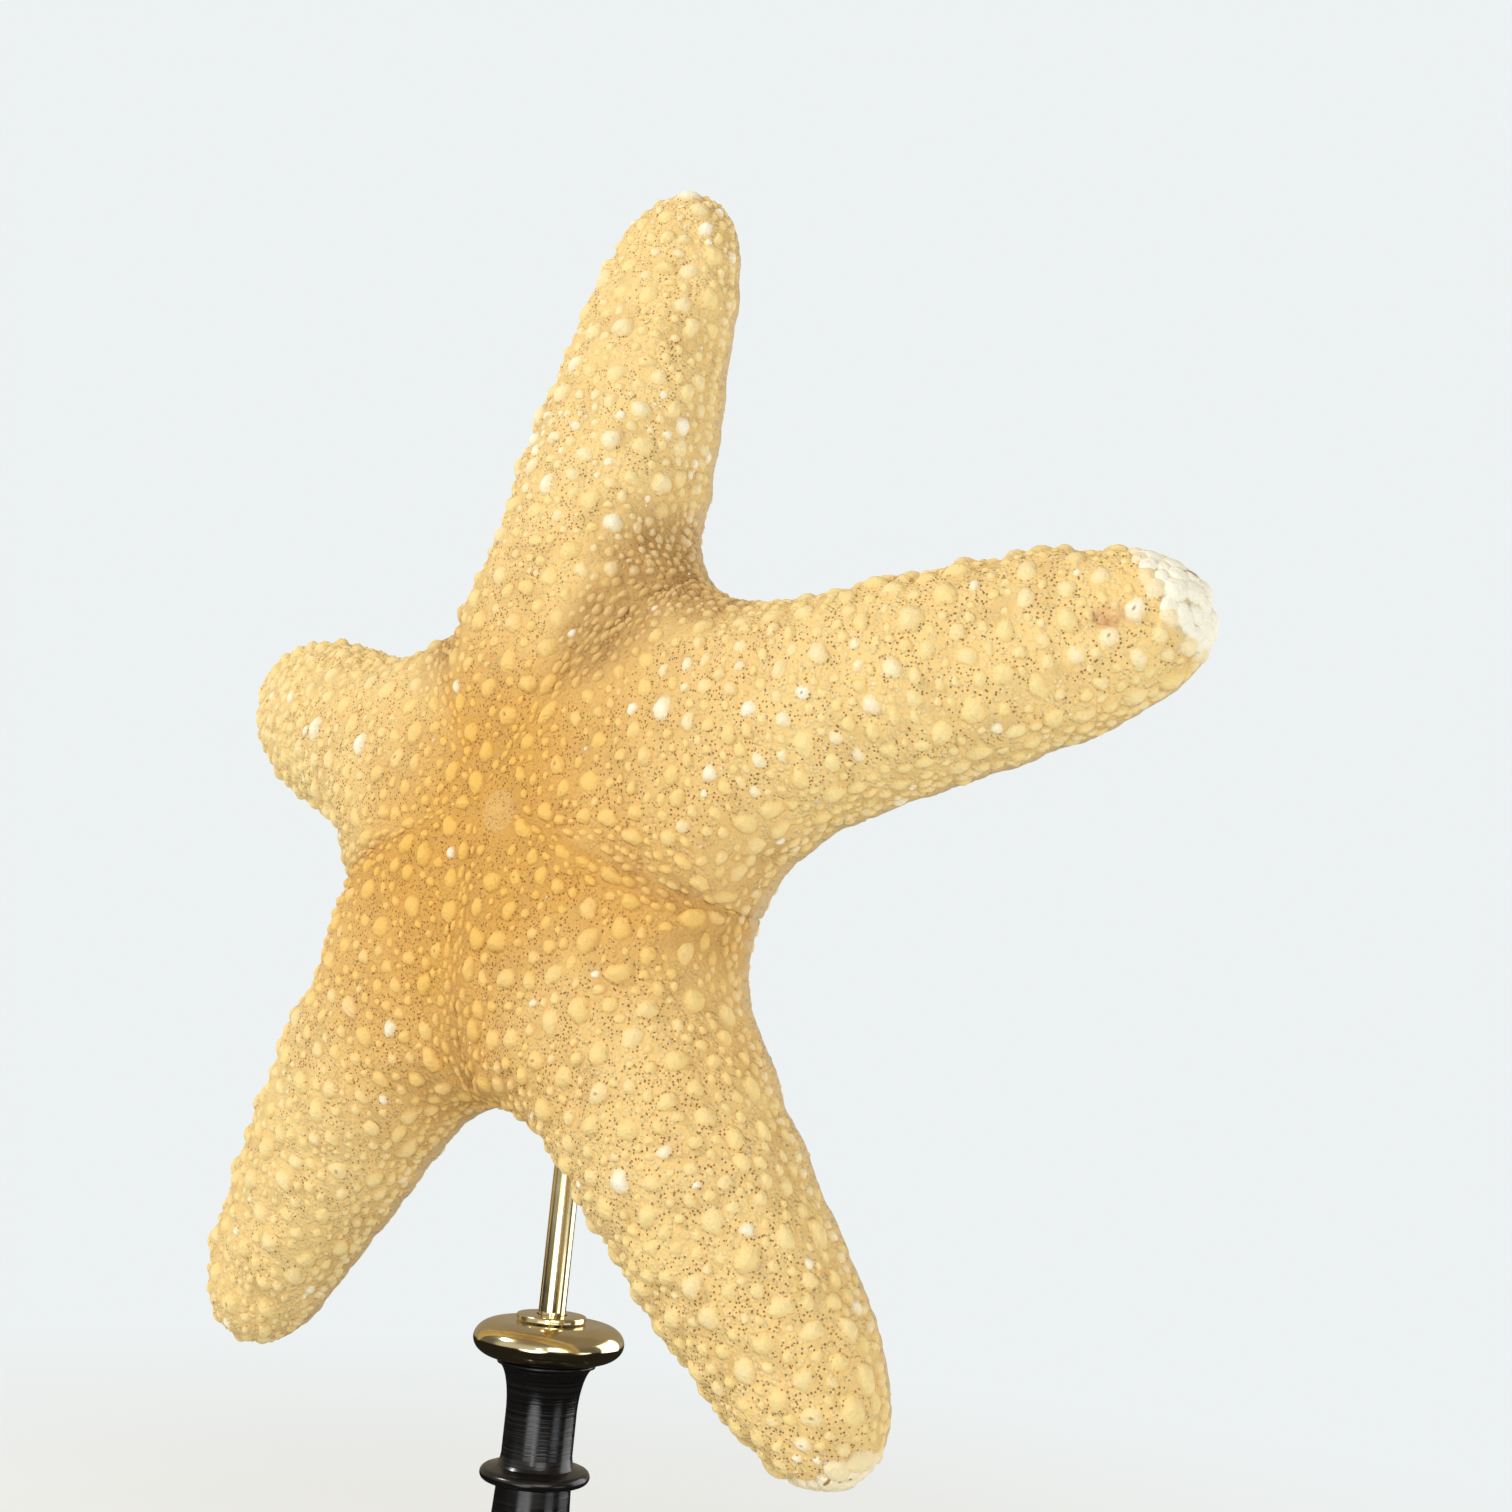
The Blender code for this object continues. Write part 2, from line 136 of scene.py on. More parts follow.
def ridge_height(x, y):
    """Height of one arm's upper side at x along it and y across, falling off outside its width."""
    s = x / ARM_LENGTH
    wide = half_width(s)
    top = along(HEIGHTS, s) * ARM_LENGTH
    rim = RIM_SHARE * top
    cosine = min(abs(y) / wide, 1.0) ** (1 / SECTION_POWER)
    sine = math.sqrt(1 - cosine * cosine)
    return rim + (top - rim) * sine ** SECTION_POWER - 2 * max(abs(y) - wide, 0.0)


def soften_valley(s, across, height, sine):
    """Fill the crease between two arms with a round valley where their heights are close."""
    soft = VALLEY_SOFTNESS * ease(0.02, 0.42, s)
    if s > 0.62 or soft == 0:
        return height
    x, y = s * ARM_LENGTH, abs(across)
    cosine, turned = math.cos(2 * WEDGE), math.sin(2 * WEDGE)
    other = ridge_height(x * cosine + y * turned, y * cosine - x * turned)
    near = max(soft - abs(height - other), 0.0)
    return height + near * near / (4 * soft) * math.sqrt(sine)


def section_point(s, t, upper):
    """Across and height of a point on an arm: s along it, t from -1 to 1 around the section."""
    cap = math.sqrt(max(1 - max((s - 1 + TIP_ROUNDING) / TIP_ROUNDING, 0.0) ** 2, 0.0))
    wide = half_width(s)
    top = along(HEIGHTS, s) * ARM_LENGTH
    rim = RIM_SHARE * top
    border = wide if s >= ROOT - 0.0004 else min(s * ARM_LENGTH * math.tan(WEDGE), wide)
    opening = math.acos(min(max(border / wide, 0.0), 1.0) ** (1 / SECTION_POWER))
    angle = math.pi / 2 - t * (math.pi / 2 - opening)
    cosine = math.cos(angle)
    sine = max(math.sin(angle), 0.0)
    across = math.copysign(abs(cosine) ** SECTION_POWER, cosine) * wide * cap
    if upper:
        height = rim + (top - rim) * cap ** 0.8 * sine ** SECTION_POWER
        return across, soften_valley(s, across, height, sine)
    return across, rim * (1 - cap ** 0.8 * sine ** UNDERSIDE_POWER)


print("an arm is", round(2000 * half_width(0.7), 1), "mm wide well out from the disc")

# %% Arms bent and set round the disc
def arm_point(arm, s, across, height):
    """Put a point of one arm in the starfish's frame, with the arm's own turn, curl and sway."""
    outer = max((s - ROOT) / (1 - ROOT), 0.0)
    full = (arm["stretch"] - ROOT) * ARM_LENGTH
    sweep = arm["curl"] / full
    run = outer * full
    reach = s * ARM_LENGTH if outer == 0 else NOTCH_REACH + math.sin(sweep * run) / sweep
    lift = 0.0 if outer == 0 else (1 - math.cos(sweep * run)) / sweep
    settle = ease(ROOT, 0.52, s)
    across *= 1 + (arm["girth"] - 1) * settle
    across += s * ARM_LENGTH * math.tan(math.radians(arm["turn"])) * settle
    across += arm["sway"] * outer ** 2
    bend = arm["curl"] * outer
    return Vector((reach - math.sin(bend) * height, across, lift + math.cos(bend) * height))


def star_point(index, s, t, upper):
    """Point of the lumpy form on arm number index, in the starfish's own frame."""
    across, height = section_point(s, t, upper)
    lump = noise.noise(Vector((s * ARM_LENGTH * LUMPS, across * LUMPS, 9.0 * index)))
    lump *= LUMP_HEIGHT * ease(ROOT, ROOT + 0.12, s) * (1 - ease(0.90, 1.0, s))
    across += lump * across / (0.15 * ARM_LENGTH)
    height += lump * (1 - t ** 4) * upper
    if not upper:
        groove = GROOVE_DEPTH * max(1 - (across / GROOVE_HALF_WIDTH) ** 2, 0.0)
        opened = ease(MOUTH_RADIUS, 3 * MOUTH_RADIUS, s * ARM_LENGTH)
        height += groove * opened * (1 - ease(0.90, 0.985, s)) * (1 - t ** 4)
    point = arm_point(ARMS[index], s, across, height)
    point = Matrix.Rotation(math.radians(90 + 72 * index), 3, "Z") @ point
    for azimuth, radius, pull, spread in HOLLOWS:
        out = Vector((math.cos(math.radians(azimuth)), math.sin(math.radians(azimuth)), 0))
        away = Vector((point.x, point.y, 0)) - out * radius
        point = point - out * pull * math.exp(-(away.length / spread) ** 2)
    return point


def knob_frame(index, s, t, upper):
    """Place, outward normal and direction along the arm at a point of the form."""
    step = min(0.004, (1 - s) * 0.6)
    place = star_point(index, s, t, upper)
    ahead = star_point(index, s + step, t, upper) - star_point(index, s - step, t, upper)
    side_t = min(t + 0.02, 1.0)
    aside = star_point(index, s, side_t, upper) - star_point(index, s, side_t - 0.04, upper)
    normal = ahead.cross(aside)
    normal = normal.normalized() if upper else -normal.normalized()
    return place, normal, ahead.normalized()


print("middle of the disc is", round(1000 * star_point(0, 0, 0, True).z, 1), "mm thick")

# %% [markdown]
# ## The skin
#
# The skin of the real animal is one closed sheet of limy plates. Here it is one closed mesh,
# made of flat grids whose points are put on the form: a triangle from the disc's centre to two
# notches, split in three quad patches, then the arm, and the underside down to the mouth. Grids
# keep the cells even, which a stretched sphere would not. Each point also stores a few marks,
# such as how far out or how low on a flank it lies, so that one finish can tone the whole animal.

# %% Patches of skin
DISC_CELLS = 32
ARM_ROWS = 92
TIP_ROWS = 14
UNDER_COLUMNS = 36
UNDER_DISC_ROWS = 22
MERGE = 0.00002


def add_patch(bm, columns, rows, place):
    """Add a grid of quads and put each of its points by the function place(u, v)."""
    grid = bmesh.ops.create_grid(bm, x_segments=columns, y_segments=rows, size=1)
    for vert in grid["verts"]:
        point, marks = place((vert.co.x + 1) / 2, (vert.co.y + 1) / 2)
        vert.co = point
        for layer, value in zip(bm.verts.layers.float.values(), marks):
            vert[layer] = value


def row_reach(row):
    """Share of the arm's length at one row, counted from the notch to the tip."""
    start = 1 - TIP_ROUNDING
    if row <= ARM_ROWS:
        return ROOT + (start - ROOT) * row / ARM_ROWS
    return start + TIP_ROUNDING * math.sin(math.pi / 2 * (row - ARM_ROWS) / TIP_ROWS)


# %% Marks that the finishes read
MARKS = ("reach", "flank", "under", "knob", "pale", "tip", "pit", "pores")
GROUND = 0.12
# Strength of the painted shade and dirt in the valleys between arms, by arm and side: strongest between
# the top and right arms.
VALLEY_SHADE_AND_DIRT = {(0, False): 1.3, (4, True): 1.1, (0, True): 0.5, (1, False): 0.5}
PORE_SHARE = (0.55, 0.35, 0.30, 1.0, 0.65)
PALE_SHIFT = {0: 0.02, 1: -0.05, 2: 0.12, 3: 0.12}
WHITE_ENDS = {3: (0.970, -0.014, 0.60), 4: (0.944, 0.028, 1.0)}


def in_white_end(index, s, t):
    """How far a point lies inside the bare white end that two of the arms have, from 0 to 1."""
    start, slant, strength = WHITE_ENDS.get(index, (2.0, 0.0, 0.0))
    return strength * ease(0.0, 0.012, s - start + slant * t)


def skin_marks(index, s, t, upper):
    """Reach, flank, underside, knob, paleness, white end, pit and crowd of pores at a point."""
    flank = abs(t) ** 2 if s < ROOT else abs(t)
    # The flank mark is raised in the valleys near the disc, where the finish paints shade and dirt.
    valley = VALLEY_SHADE_AND_DIRT.get((index, t > 0), 0.25) * ease(0.12, 0.30, s) * (1 - ease(0.34, 0.50, s))
    flank = flank * 0.6 + valley * ease(0.05, 0.85, abs(t))
    shade = s - PALE_SHIFT.get(index, 0.0)
    pores = 1 + (PORE_SHARE[index] - 1) * ease(0.35, 0.62, s)
    return [shade, flank, 0.0 if upper else 1.0, GROUND, 0.0, in_white_end(index, s, t), 0.0, pores]


def new_bmesh():
    """Empty bmesh with a layer for each mark."""
    bm = bmesh.new()
    for name in MARKS:
        bm.verts.layers.float.new(name)
    return bm


print("marks on every point:", ", ".join(MARKS))

# %% Disc, arms and underside
def skin_place(index, s, t, upper):
    """Point of the skin and its marks."""
    return star_point(index, s, t, upper), skin_marks(index, s, t, upper)


def add_disc_share(bm, index):
    """Add one arm's share of the disc: a triangle from centre to notches, as three quad patches."""
    centre = Vector((0, 0))
    notch_a = Vector((ROOT, 1))
    notch_b = Vector((ROOT, -1))
    base = Vector((ROOT, 0))
    middle = Vector((ROOT * 2 / 3, 0))
    patches = (
        (centre, notch_a / 2, middle, notch_b / 2),
        (notch_a, base, middle, notch_a / 2),
        (notch_b, notch_b / 2, middle, base),
    )
    for a, b, c, d in patches:
        def place(u, v, a=a, b=b, c=c, d=d):
            flat = (a * (1 - u) + b * u) * (1 - v) + (d * (1 - u) + c * u) * v
            t = flat.y * ROOT / flat.x if flat.x > 1e-6 else 0.0
            return skin_place(index, flat.x, round(min(max(t, -1.0), 1.0), 5), True)
        add_patch(bm, DISC_CELLS, DISC_CELLS, place)


def add_arm_top(bm, index):
    """Add the upper side of one arm, from the line between its notches to its tip."""
    rows = ARM_ROWS + TIP_ROWS

    def place(u, v):
        return skin_place(index, row_reach(round(v * rows)), round(2 * u - 1, 5), True)
    add_patch(bm, 2 * DISC_CELLS, rows, place)


def add_underside(bm, index):
    """Add one arm's share of the underside, from the mouth's ring to the tip."""
    mouth = MOUTH_RADIUS / ARM_LENGTH
    rows = UNDER_DISC_ROWS + ARM_ROWS + TIP_ROWS

    def place(u, v):
        row = round(v * rows) - UNDER_DISC_ROWS
        even = round(2 * u - 1, 5)
        t = math.copysign(abs(even) ** 1.35, even)
        if row >= 0:
            return skin_place(index, row_reach(row), t, False)
        share = -row / UNDER_DISC_ROWS
        s = ROOT + (mouth - ROOT) * share
        s *= 1 - share ** 2 * (1 - math.cos(math.atan(t * math.tan(WEDGE))))
        return skin_place(index, s, t, False)
    add_patch(bm, UNDER_COLUMNS, rows, place)


# %% Mouth
SOCKET_RADIUS = 0.0030
SOCKET_DEPTH = 0.0122
MOUTH_STEPS = (
    (0.0052, 0.0018), (0.0042, 0.0030), (SOCKET_RADIUS, 0.0042), (SOCKET_RADIUS, SOCKET_DEPTH),
)


def sink_mouth(bm):
    """Extrude the open ring round the mouth into a blind hollow for the rod's end."""
    ring = [edge for edge in bm.edges if edge.is_boundary]
    print("edges round the mouth:", len(ring))
    for vert in {vert for edge in ring for vert in edge.verts}:
        vert.co.z = 0.0008
    for radius, height in MOUTH_STEPS:
        grown = bmesh.ops.extrude_edge_only(bm, edges=ring)["geom"]
        ring = [item for item in grown if isinstance(item, bmesh.types.BMEdge)]
        for vert in {vert for edge in ring for vert in edge.verts}:
            flat = vert.co.xy.normalized() * radius
            vert.co = Vector((flat.x, flat.y, height))
    bmesh.ops.contextual_create(bm, geom=ring)


# %% Relief of the skin
SKIN_SWELL = 0.00025
SKIN_WRINKLE = 0.00022


def roughen_skin(bm):
    """Push the skin in and out by smooth noise, finer and stronger on the flanks."""
    under = bm.verts.layers.float["under"]
    flank = bm.verts.layers.float["flank"]
    bm.normal_update()
    shifts = []
    for vert in bm.verts:
        swell = noise.noise(vert.co * 170) * SKIN_SWELL
        wrinkle = noise.noise(vert.co * 620) * SKIN_WRINKLE * (0.6 + vert[flank])
        shifts.append(vert.normal * (swell * (1 - 0.6 * vert[under]) + wrinkle))
    for vert, shift in zip(bm.verts, shifts):
        if Vector((vert.co.x, vert.co.y)).length > MOUTH_RADIUS + 0.002:
            vert.co += shift


def finish_piece(name, bm, material, smooth=True):
    """Put a bmesh of the starfish's frame in place as a piece that rides on the stand's body."""
    bmesh.ops.transform(bm, matrix=STAR_PLACE, verts=bm.verts)
    return make_piece(name, bm, material, smooth)


def make_piece(name, bm, material, smooth=True):
    """Turn a bmesh into a piece at the origin, riding on the root body."""
    for face in bm.faces:
        face.smooth = smooth
    mesh = bpy.data.meshes.new(name)
    bm.to_mesh(mesh)
    bm.free()
    mesh.materials.append(material)
    piece = bpy.data.objects.new(name, mesh)
    bpy.context.scene.collection.objects.link(piece)
    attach(piece, "root")
    return piece


# %% [markdown]
# ## Finishes
#
# A dried starfish is matt and chalky. Its colour runs from orange on the disc to pale straw on
# the arms, its knobs are paler on top, and fine brown pores lie in crowds between them. It could
# be painted on an image, but an image would have to be unwrapped over thousands of knobs. This
# finish is procedural instead: the marks stored on the mesh say where knobs, flanks and tips
# are, noise breaks up every border, and two cell patterns make the granules and the pores. The
# grain is a bump, because it is finer than any mesh here.

# %% Small helpers for shader nodes
def new_material(name, roughness, metallic=0.0):
    """Material with a Principled shader, and the nodes and links that a finish adds to."""
    material = bpy.data.materials.new(name)
    material.use_nodes = True
    shader = material.node_tree.nodes["Principled BSDF"]
    shader.inputs["Roughness"].default_value = roughness
    shader.inputs["Metallic"].default_value = metallic
    return material, material.node_tree, shader


def feed(tree, socket, value):
    """Link a socket to an input, or set the input's own value."""
    if isinstance(value, bpy.types.NodeSocket):
        tree.links.new(value, socket)
    else:
        socket.default_value = value


def math_node(tree, operation, a, b=0.0, clamp=False):
    """Math node's output."""
    node = tree.nodes.new("ShaderNodeMath")
    node.operation = operation
    node.use_clamp = clamp
    feed(tree, node.inputs[0], a)
    feed(tree, node.inputs[1], b)
    return node.outputs[0]


def times(tree, a, b):
    """Product of two values."""
    return math_node(tree, "MULTIPLY", a, b)


def rest_of(tree, share, clamp=False):
    """What a share leaves of 1."""
    return math_node(tree, "SUBTRACT", 1.0, share, clamp)


def dot_node(tree, vector, axis):
    """Dot product of a vector with a fixed axis."""
    node = tree.nodes.new("ShaderNodeVectorMath")
    node.operation = "DOT_PRODUCT"
    feed(tree, node.inputs[0], vector)
    node.inputs[1].default_value = axis
    return node.outputs["Value"]


def span_node(tree, value, low, high, to_low=0.0, to_high=1.0):
    """Map a value smoothly from one range to another."""
    node = tree.nodes.new("ShaderNodeMapRange")
    node.interpolation_type = "SMOOTHSTEP"
    for name, number in (("From Min", low), ("From Max", high), ("To Min", to_low), ("To Max", to_high)):
        node.inputs[name].default_value = number
    feed(tree, node.inputs["Value"], value)
    return node.outputs["Result"]


def mix_node(tree, factor, a, b):
    """Mix two colours."""
    node = tree.nodes.new("ShaderNodeMix")
    node.data_type = "RGBA"
    feed(tree, node.inputs["Factor"], factor)
    feed(tree, node.inputs["A"], a)
    feed(tree, node.inputs["B"], b)
    return node.outputs["Result"]


def noise_node(tree, place, scale, detail=2.0):
    """Noise on Object coordinates."""
    node = tree.nodes.new("ShaderNodeTexNoise")
    node.inputs["Scale"].default_value = scale
    node.inputs["Detail"].default_value = detail
    feed(tree, node.inputs["Vector"], place)
    return node.outputs["Fac"]


def mark_node(tree, name):
    """Value of a mark stored on the mesh."""
    node = tree.nodes.new("ShaderNodeAttribute")
    node.attribute_name = name
    return node.outputs["Fac"]


def add_bump(tree, shader, height, strength, distance):
    """Bump the shader's surface by a height."""
    bump = tree.nodes.new("ShaderNodeBump")
    bump.inputs["Strength"].default_value = strength
    bump.inputs["Distance"].default_value = distance
    feed(tree, bump.inputs["Height"], height)
    feed(tree, shader.inputs["Normal"], bump.outputs["Normal"])


# %% Colours of the starfish
DISC_KNOB = (0.835, 0.505, 0.110, 1)
DISC_GROUND = (0.660, 0.352, 0.080, 1)
ARM_KNOB = (0.880, 0.675, 0.285, 1)
ARM_GROUND = (0.850, 0.610, 0.250, 1)
# Ochre of the dirt in the knob seams and patches, of the darkening down the flanks and of the painted
# shade in the valleys between arms.
OCHRE_DIRT_AND_SHADE = (0.470, 0.270, 0.090, 1)
KNOB_CREAM = (0.930, 0.780, 0.460, 1)
CHALK_WHITE = (0.930, 0.890, 0.740, 1)
END_WHITE = (0.900, 0.860, 0.710, 1)
END_SEAM = (0.500, 0.400, 0.220, 1)
UNDER_CREAM = (0.860, 0.740, 0.500, 1)
UNDER_GROUND = (0.600, 0.440, 0.230, 1)
PORE_BROWN = (0.270, 0.100, 0.026, 1)
STAIN_RED = (0.520, 0.190, 0.110, 1)
PORE_PITCH = 0.00066
GRANULE_PITCH = 0.00088
SKIN_ROUGHNESS = 0.75
SKIN_SHINE = 0.25
GRAIN_STRENGTH = 0.8
GRAIN_DEPTH = 0.0006


def granules(tree, coordinates, pitch):
    """Distance to the nearest granule's middle, in shares of the pitch."""
    node = tree.nodes.new("ShaderNodeTexVoronoi")
    node.inputs["Scale"].default_value = 1 / pitch
    feed(tree, node.inputs["Vector"], coordinates)
    return node.outputs["Distance"]


# %% Wounds
# Kind, place as (arm, reach, side) and radii along, across and deep.
WOUNDS = (
    ("stain", (4, 0.890, -0.02), (0.0028, 0.0030, 0.0030)),
    ("crack", (4, 0.984, 0.47), (0.0016, 0.00045, 0.0020)),
    ("crack", (3, 0.980, -0.06), (0.0003, 0.0010, 0.0020)),
    ("hole", (3, 0.986, 0.06), (0.0003, 0.0003, 0.0020)),
    ("hole", (3, 0.990, 0.20), (0.0003, 0.0003, 0.0020)),
)


def wound_mask(tree, coordinates, place, radii):
    """Soft ragged oval about a place: radii along the arm, across it and in depth."""
    spot, normal, ahead = knob_frame(*place, True)
    turn = STAR_PLACE.to_3x3()
    away = tree.nodes.new("ShaderNodeVectorMath")
    away.operation = "SUBTRACT"
    feed(tree, away.inputs[0], coordinates)
    away.inputs[1].default_value = STAR_PLACE @ spot
    total = 0.0
    for axis, radius in zip((ahead, normal.cross(ahead), normal), radii):
        part = dot_node(tree, away.outputs["Vector"], (turn @ axis) / radius)
        total = math_node(tree, "ADD", times(tree, part, part), total)
    ragged = times(tree, noise_node(tree, coordinates, 1500, 2), 0.9)
    return span_node(tree, math_node(tree, "ADD", total, ragged), 1.6, 0.9)


# %% Parts of the skin that the tones and the relief are mixed from
def skin_parts(tree, coordinates):
    """Values over the skin, by name: the marks, and what is worked out from them."""
    parts = {name: mark_node(tree, name) for name in MARKS}
    broad = noise_node(tree, coordinates, 25)
    wander = math_node(tree, "ADD", parts["reach"], times(tree, broad, 0.45))
    parts["outward"] = span_node(tree, wander, 0.28, 0.72)
    parts["patchy"] = noise_node(tree, coordinates, 150, 3)
    parts["crown"] = span_node(tree, parts["knob"], 0.20, 0.65)
    parts["bare"] = rest_of(tree, parts["crown"])
    grain_top = span_node(tree, granules(tree, coordinates, GRANULE_PITCH), 0.55, 0.05)
    parts["lift"] = times(tree, grain_top, parts["bare"])
    return parts


def dirt_and_shade_mask(tree, parts):
    """Ochre dirt in the seams round the knobs and in patches, ochre darkening down the flanks, and
    painted shade with dirt in the valleys between arms.
    """
    seam = span_node(tree, parts["knob"], 0.11, 0.02)
    dirt = times(tree, span_node(tree, parts["patchy"], 0.42, 0.70), parts["bare"])
    spared = rest_of(tree, times(tree, parts["crown"], 0.30))
    # Ochre down the flanks, and painted shade with dirt in the valleys between arms, spared on the knob
    # crowns.
    flanks_and_valleys = times(tree, span_node(tree, parts["flank"], 0.3, 1.2), spared)
    grime = math_node(tree, "ADD", times(tree, seam, 0.35), times(tree, dirt, 0.25))
    return math_node(tree, "ADD", grime, times(tree, flanks_and_valleys, 0.75), True)


# %% Tones, pores and relief
def skin_tone(tree, parts):
    """Orange disc and straw arms, with granules, dirt, painted valley shade, pale knobs and bare white
    ends.
    """
    outward, knob = parts["outward"], parts["knob"]
    on_knob = mix_node(tree, outward, DISC_KNOB, ARM_KNOB)
    on_ground = mix_node(tree, outward, DISC_GROUND, ARM_GROUND)
    on_grain = mix_node(tree, outward, DISC_KNOB, KNOB_CREAM)
    colour = mix_node(tree, parts["crown"], on_ground, on_knob)
    colour = mix_node(tree, times(tree, parts["lift"], 0.6), colour, on_grain)
    # Painted shade with dirt in the valleys, dirt in the seams and patches, and ochre down the flanks.
    colour = mix_node(tree, dirt_and_shade_mask(tree, parts), colour, OCHRE_DIRT_AND_SHADE)
    top = span_node(tree, knob, 0.5, 1.0)
    cream = times(tree, top, span_node(tree, outward, 0.0, 1.0, 0.04, 0.12))
    colour = mix_node(tree, cream, colour, KNOB_CREAM)
    colour = mix_node(tree, parts["pale"], colour, CHALK_WHITE)
    under_tone = mix_node(tree, span_node(tree, knob, 0.05, 0.5), UNDER_GROUND, UNDER_CREAM)
    colour = mix_node(tree, times(tree, parts["under"], 0.85), colour, under_tone)
    end_tone = mix_node(tree, span_node(tree, knob, 0.02, 0.35), END_SEAM, END_WHITE)
    return mix_node(tree, parts["tip"], colour, end_tone)


def pore_mask(tree, coordinates, parts):
    """Pores in crowds on the bare ground, fewer on some arms, and the pits of a few knobs."""
    dot = span_node(tree, granules(tree, coordinates, PORE_PITCH), 0.30, 0.23)
    scarce = times(tree, rest_of(tree, parts["pores"]), 0.24)
    crowds = math_node(tree, "SUBTRACT", noise_node(tree, coordinates, 240, 1), scarce)
    crowded = span_node(tree, crowds, 0.31, 0.44)
    open_skin = times(tree, parts["bare"], span_node(tree, parts["flank"], 0.54, 0.30))
    open_skin = times(tree, open_skin, rest_of(tree, parts["under"]))
    open_skin = times(tree, open_skin, rest_of(tree, parts["tip"], True))
    pores = times(tree, times(tree, dot, crowded), open_skin)
    return math_node(tree, "MAXIMUM", pores, parts["pit"])


def skin_relief(tree, coordinates, lift, holes):
    """Height of the grain: granules, pebbles and a fine roughness, less the holes."""
    fine = times(tree, noise_node(tree, coordinates, 2000, 3), 0.45)
    pebbles = times(tree, noise_node(tree, coordinates, 850, 2), 0.9)
    height = math_node(tree, "ADD", times(tree, lift, 0.50), math_node(tree, "ADD", fine, pebbles))
    return math_node(tree, "SUBTRACT", height, times(tree, holes, 0.25))


def star_finish():
    """Limy skin: its tones, its pores and wounds, and its grain."""
    material, tree, shader = new_material("star_skin", SKIN_ROUGHNESS)
    shader.inputs["Specular IOR Level"].default_value = SKIN_SHINE
    coordinates = tree.nodes.new("ShaderNodeTexCoord").outputs["Object"]
    parts = skin_parts(tree, coordinates)
    colour = skin_tone(tree, parts)
    holes = pore_mask(tree, coordinates, parts)
    for kind, place, radii in WOUNDS:
        mask = wound_mask(tree, coordinates, place, radii)
        if kind == "stain":
            red = times(tree, mask, span_node(tree, parts["patchy"], 0.35, 0.60))
            colour = mix_node(tree, times(tree, red, 0.48), colour, STAIN_RED)
        else:
            holes = math_node(tree, "MAXIMUM", holes, mask)
    colour = mix_node(tree, times(tree, holes, 0.84), colour, PORE_BROWN)
    feed(tree, shader.inputs["Base Color"], colour)
    relief = skin_relief(tree, coordinates, parts["lift"], holes)
    add_bump(tree, shader, relief, GRAIN_STRENGTH, GRAIN_DEPTH)
    return material


STAR_SKIN = star_finish()

# %% Make the skin
skin = new_bmesh()
for arm_number in range(len(ARMS)):
    add_disc_share(skin, arm_number)
    add_arm_top(skin, arm_number)
    add_underside(skin, arm_number)
bmesh.ops.remove_doubles(skin, verts=skin.verts, dist=MERGE)
sink_mouth(skin)
bmesh.ops.recalc_face_normals(skin, faces=skin.faces)
roughen_skin(skin)
skin_piece = finish_piece("starfish_skin", skin, STAR_SKIN)
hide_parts("starfish")
print("skin:", len(skin_piece.data.polygons), "faces")

# %% [markdown]
# ## Knobs
#
# Each knob of the real skin is a plate with a blunt crown, and it meets the skin softly. Spheres
# pushed into the skin would show a hard ring there. A knob here starts as a small flat grid
# rounded to a disc, and a crown curve lifts its middle, so its foot runs out level with the skin.
# They are strewn at random, large ones first, and each keeps clear of those already there: large
# along the top of an arm, smaller and longer down its flanks, where they overlap like scales.
# Knobs that the photo shows plainly have set places.

# %% The few kinds of knob
KINDS = {
    "great": {"cells": 10, "sharp": 1.45, "height": 0.44},
    "middle": {"cells": 6, "sharp": 1.35, "height": 0.48},
    "small": {"cells": 4, "sharp": 1.15, "height": 0.50},
    "plate": {"cells": 8, "sharp": 3.0, "height": 0.40},
}


def round_grid(cells):
    """Flat grid of quads rounded to a disc of radius 1, with the marks' layers."""
    bm = new_bmesh()
    bmesh.ops.create_grid(bm, x_segments=cells, y_segments=cells, size=1)
    for vert in bm.verts:
        x, y = vert.co.x, vert.co.y
        vert.co.x = x * math.sqrt(1 - y * y / 2)
        vert.co.y = y * math.sqrt(1 - x * x / 2)
    return bm


for kind in KINDS.values():
    kind["grid"] = round_grid(kind["cells"])
    kind["flat"] = [vert.co.copy() for vert in kind["grid"].verts]
scratch_mesh = bpy.data.meshes.new("one_knob")


# %% Place one knob
FOOT_SINK = 0.00012
SKIRT = 0.0005
CURVE_RADIUS = 0.0150


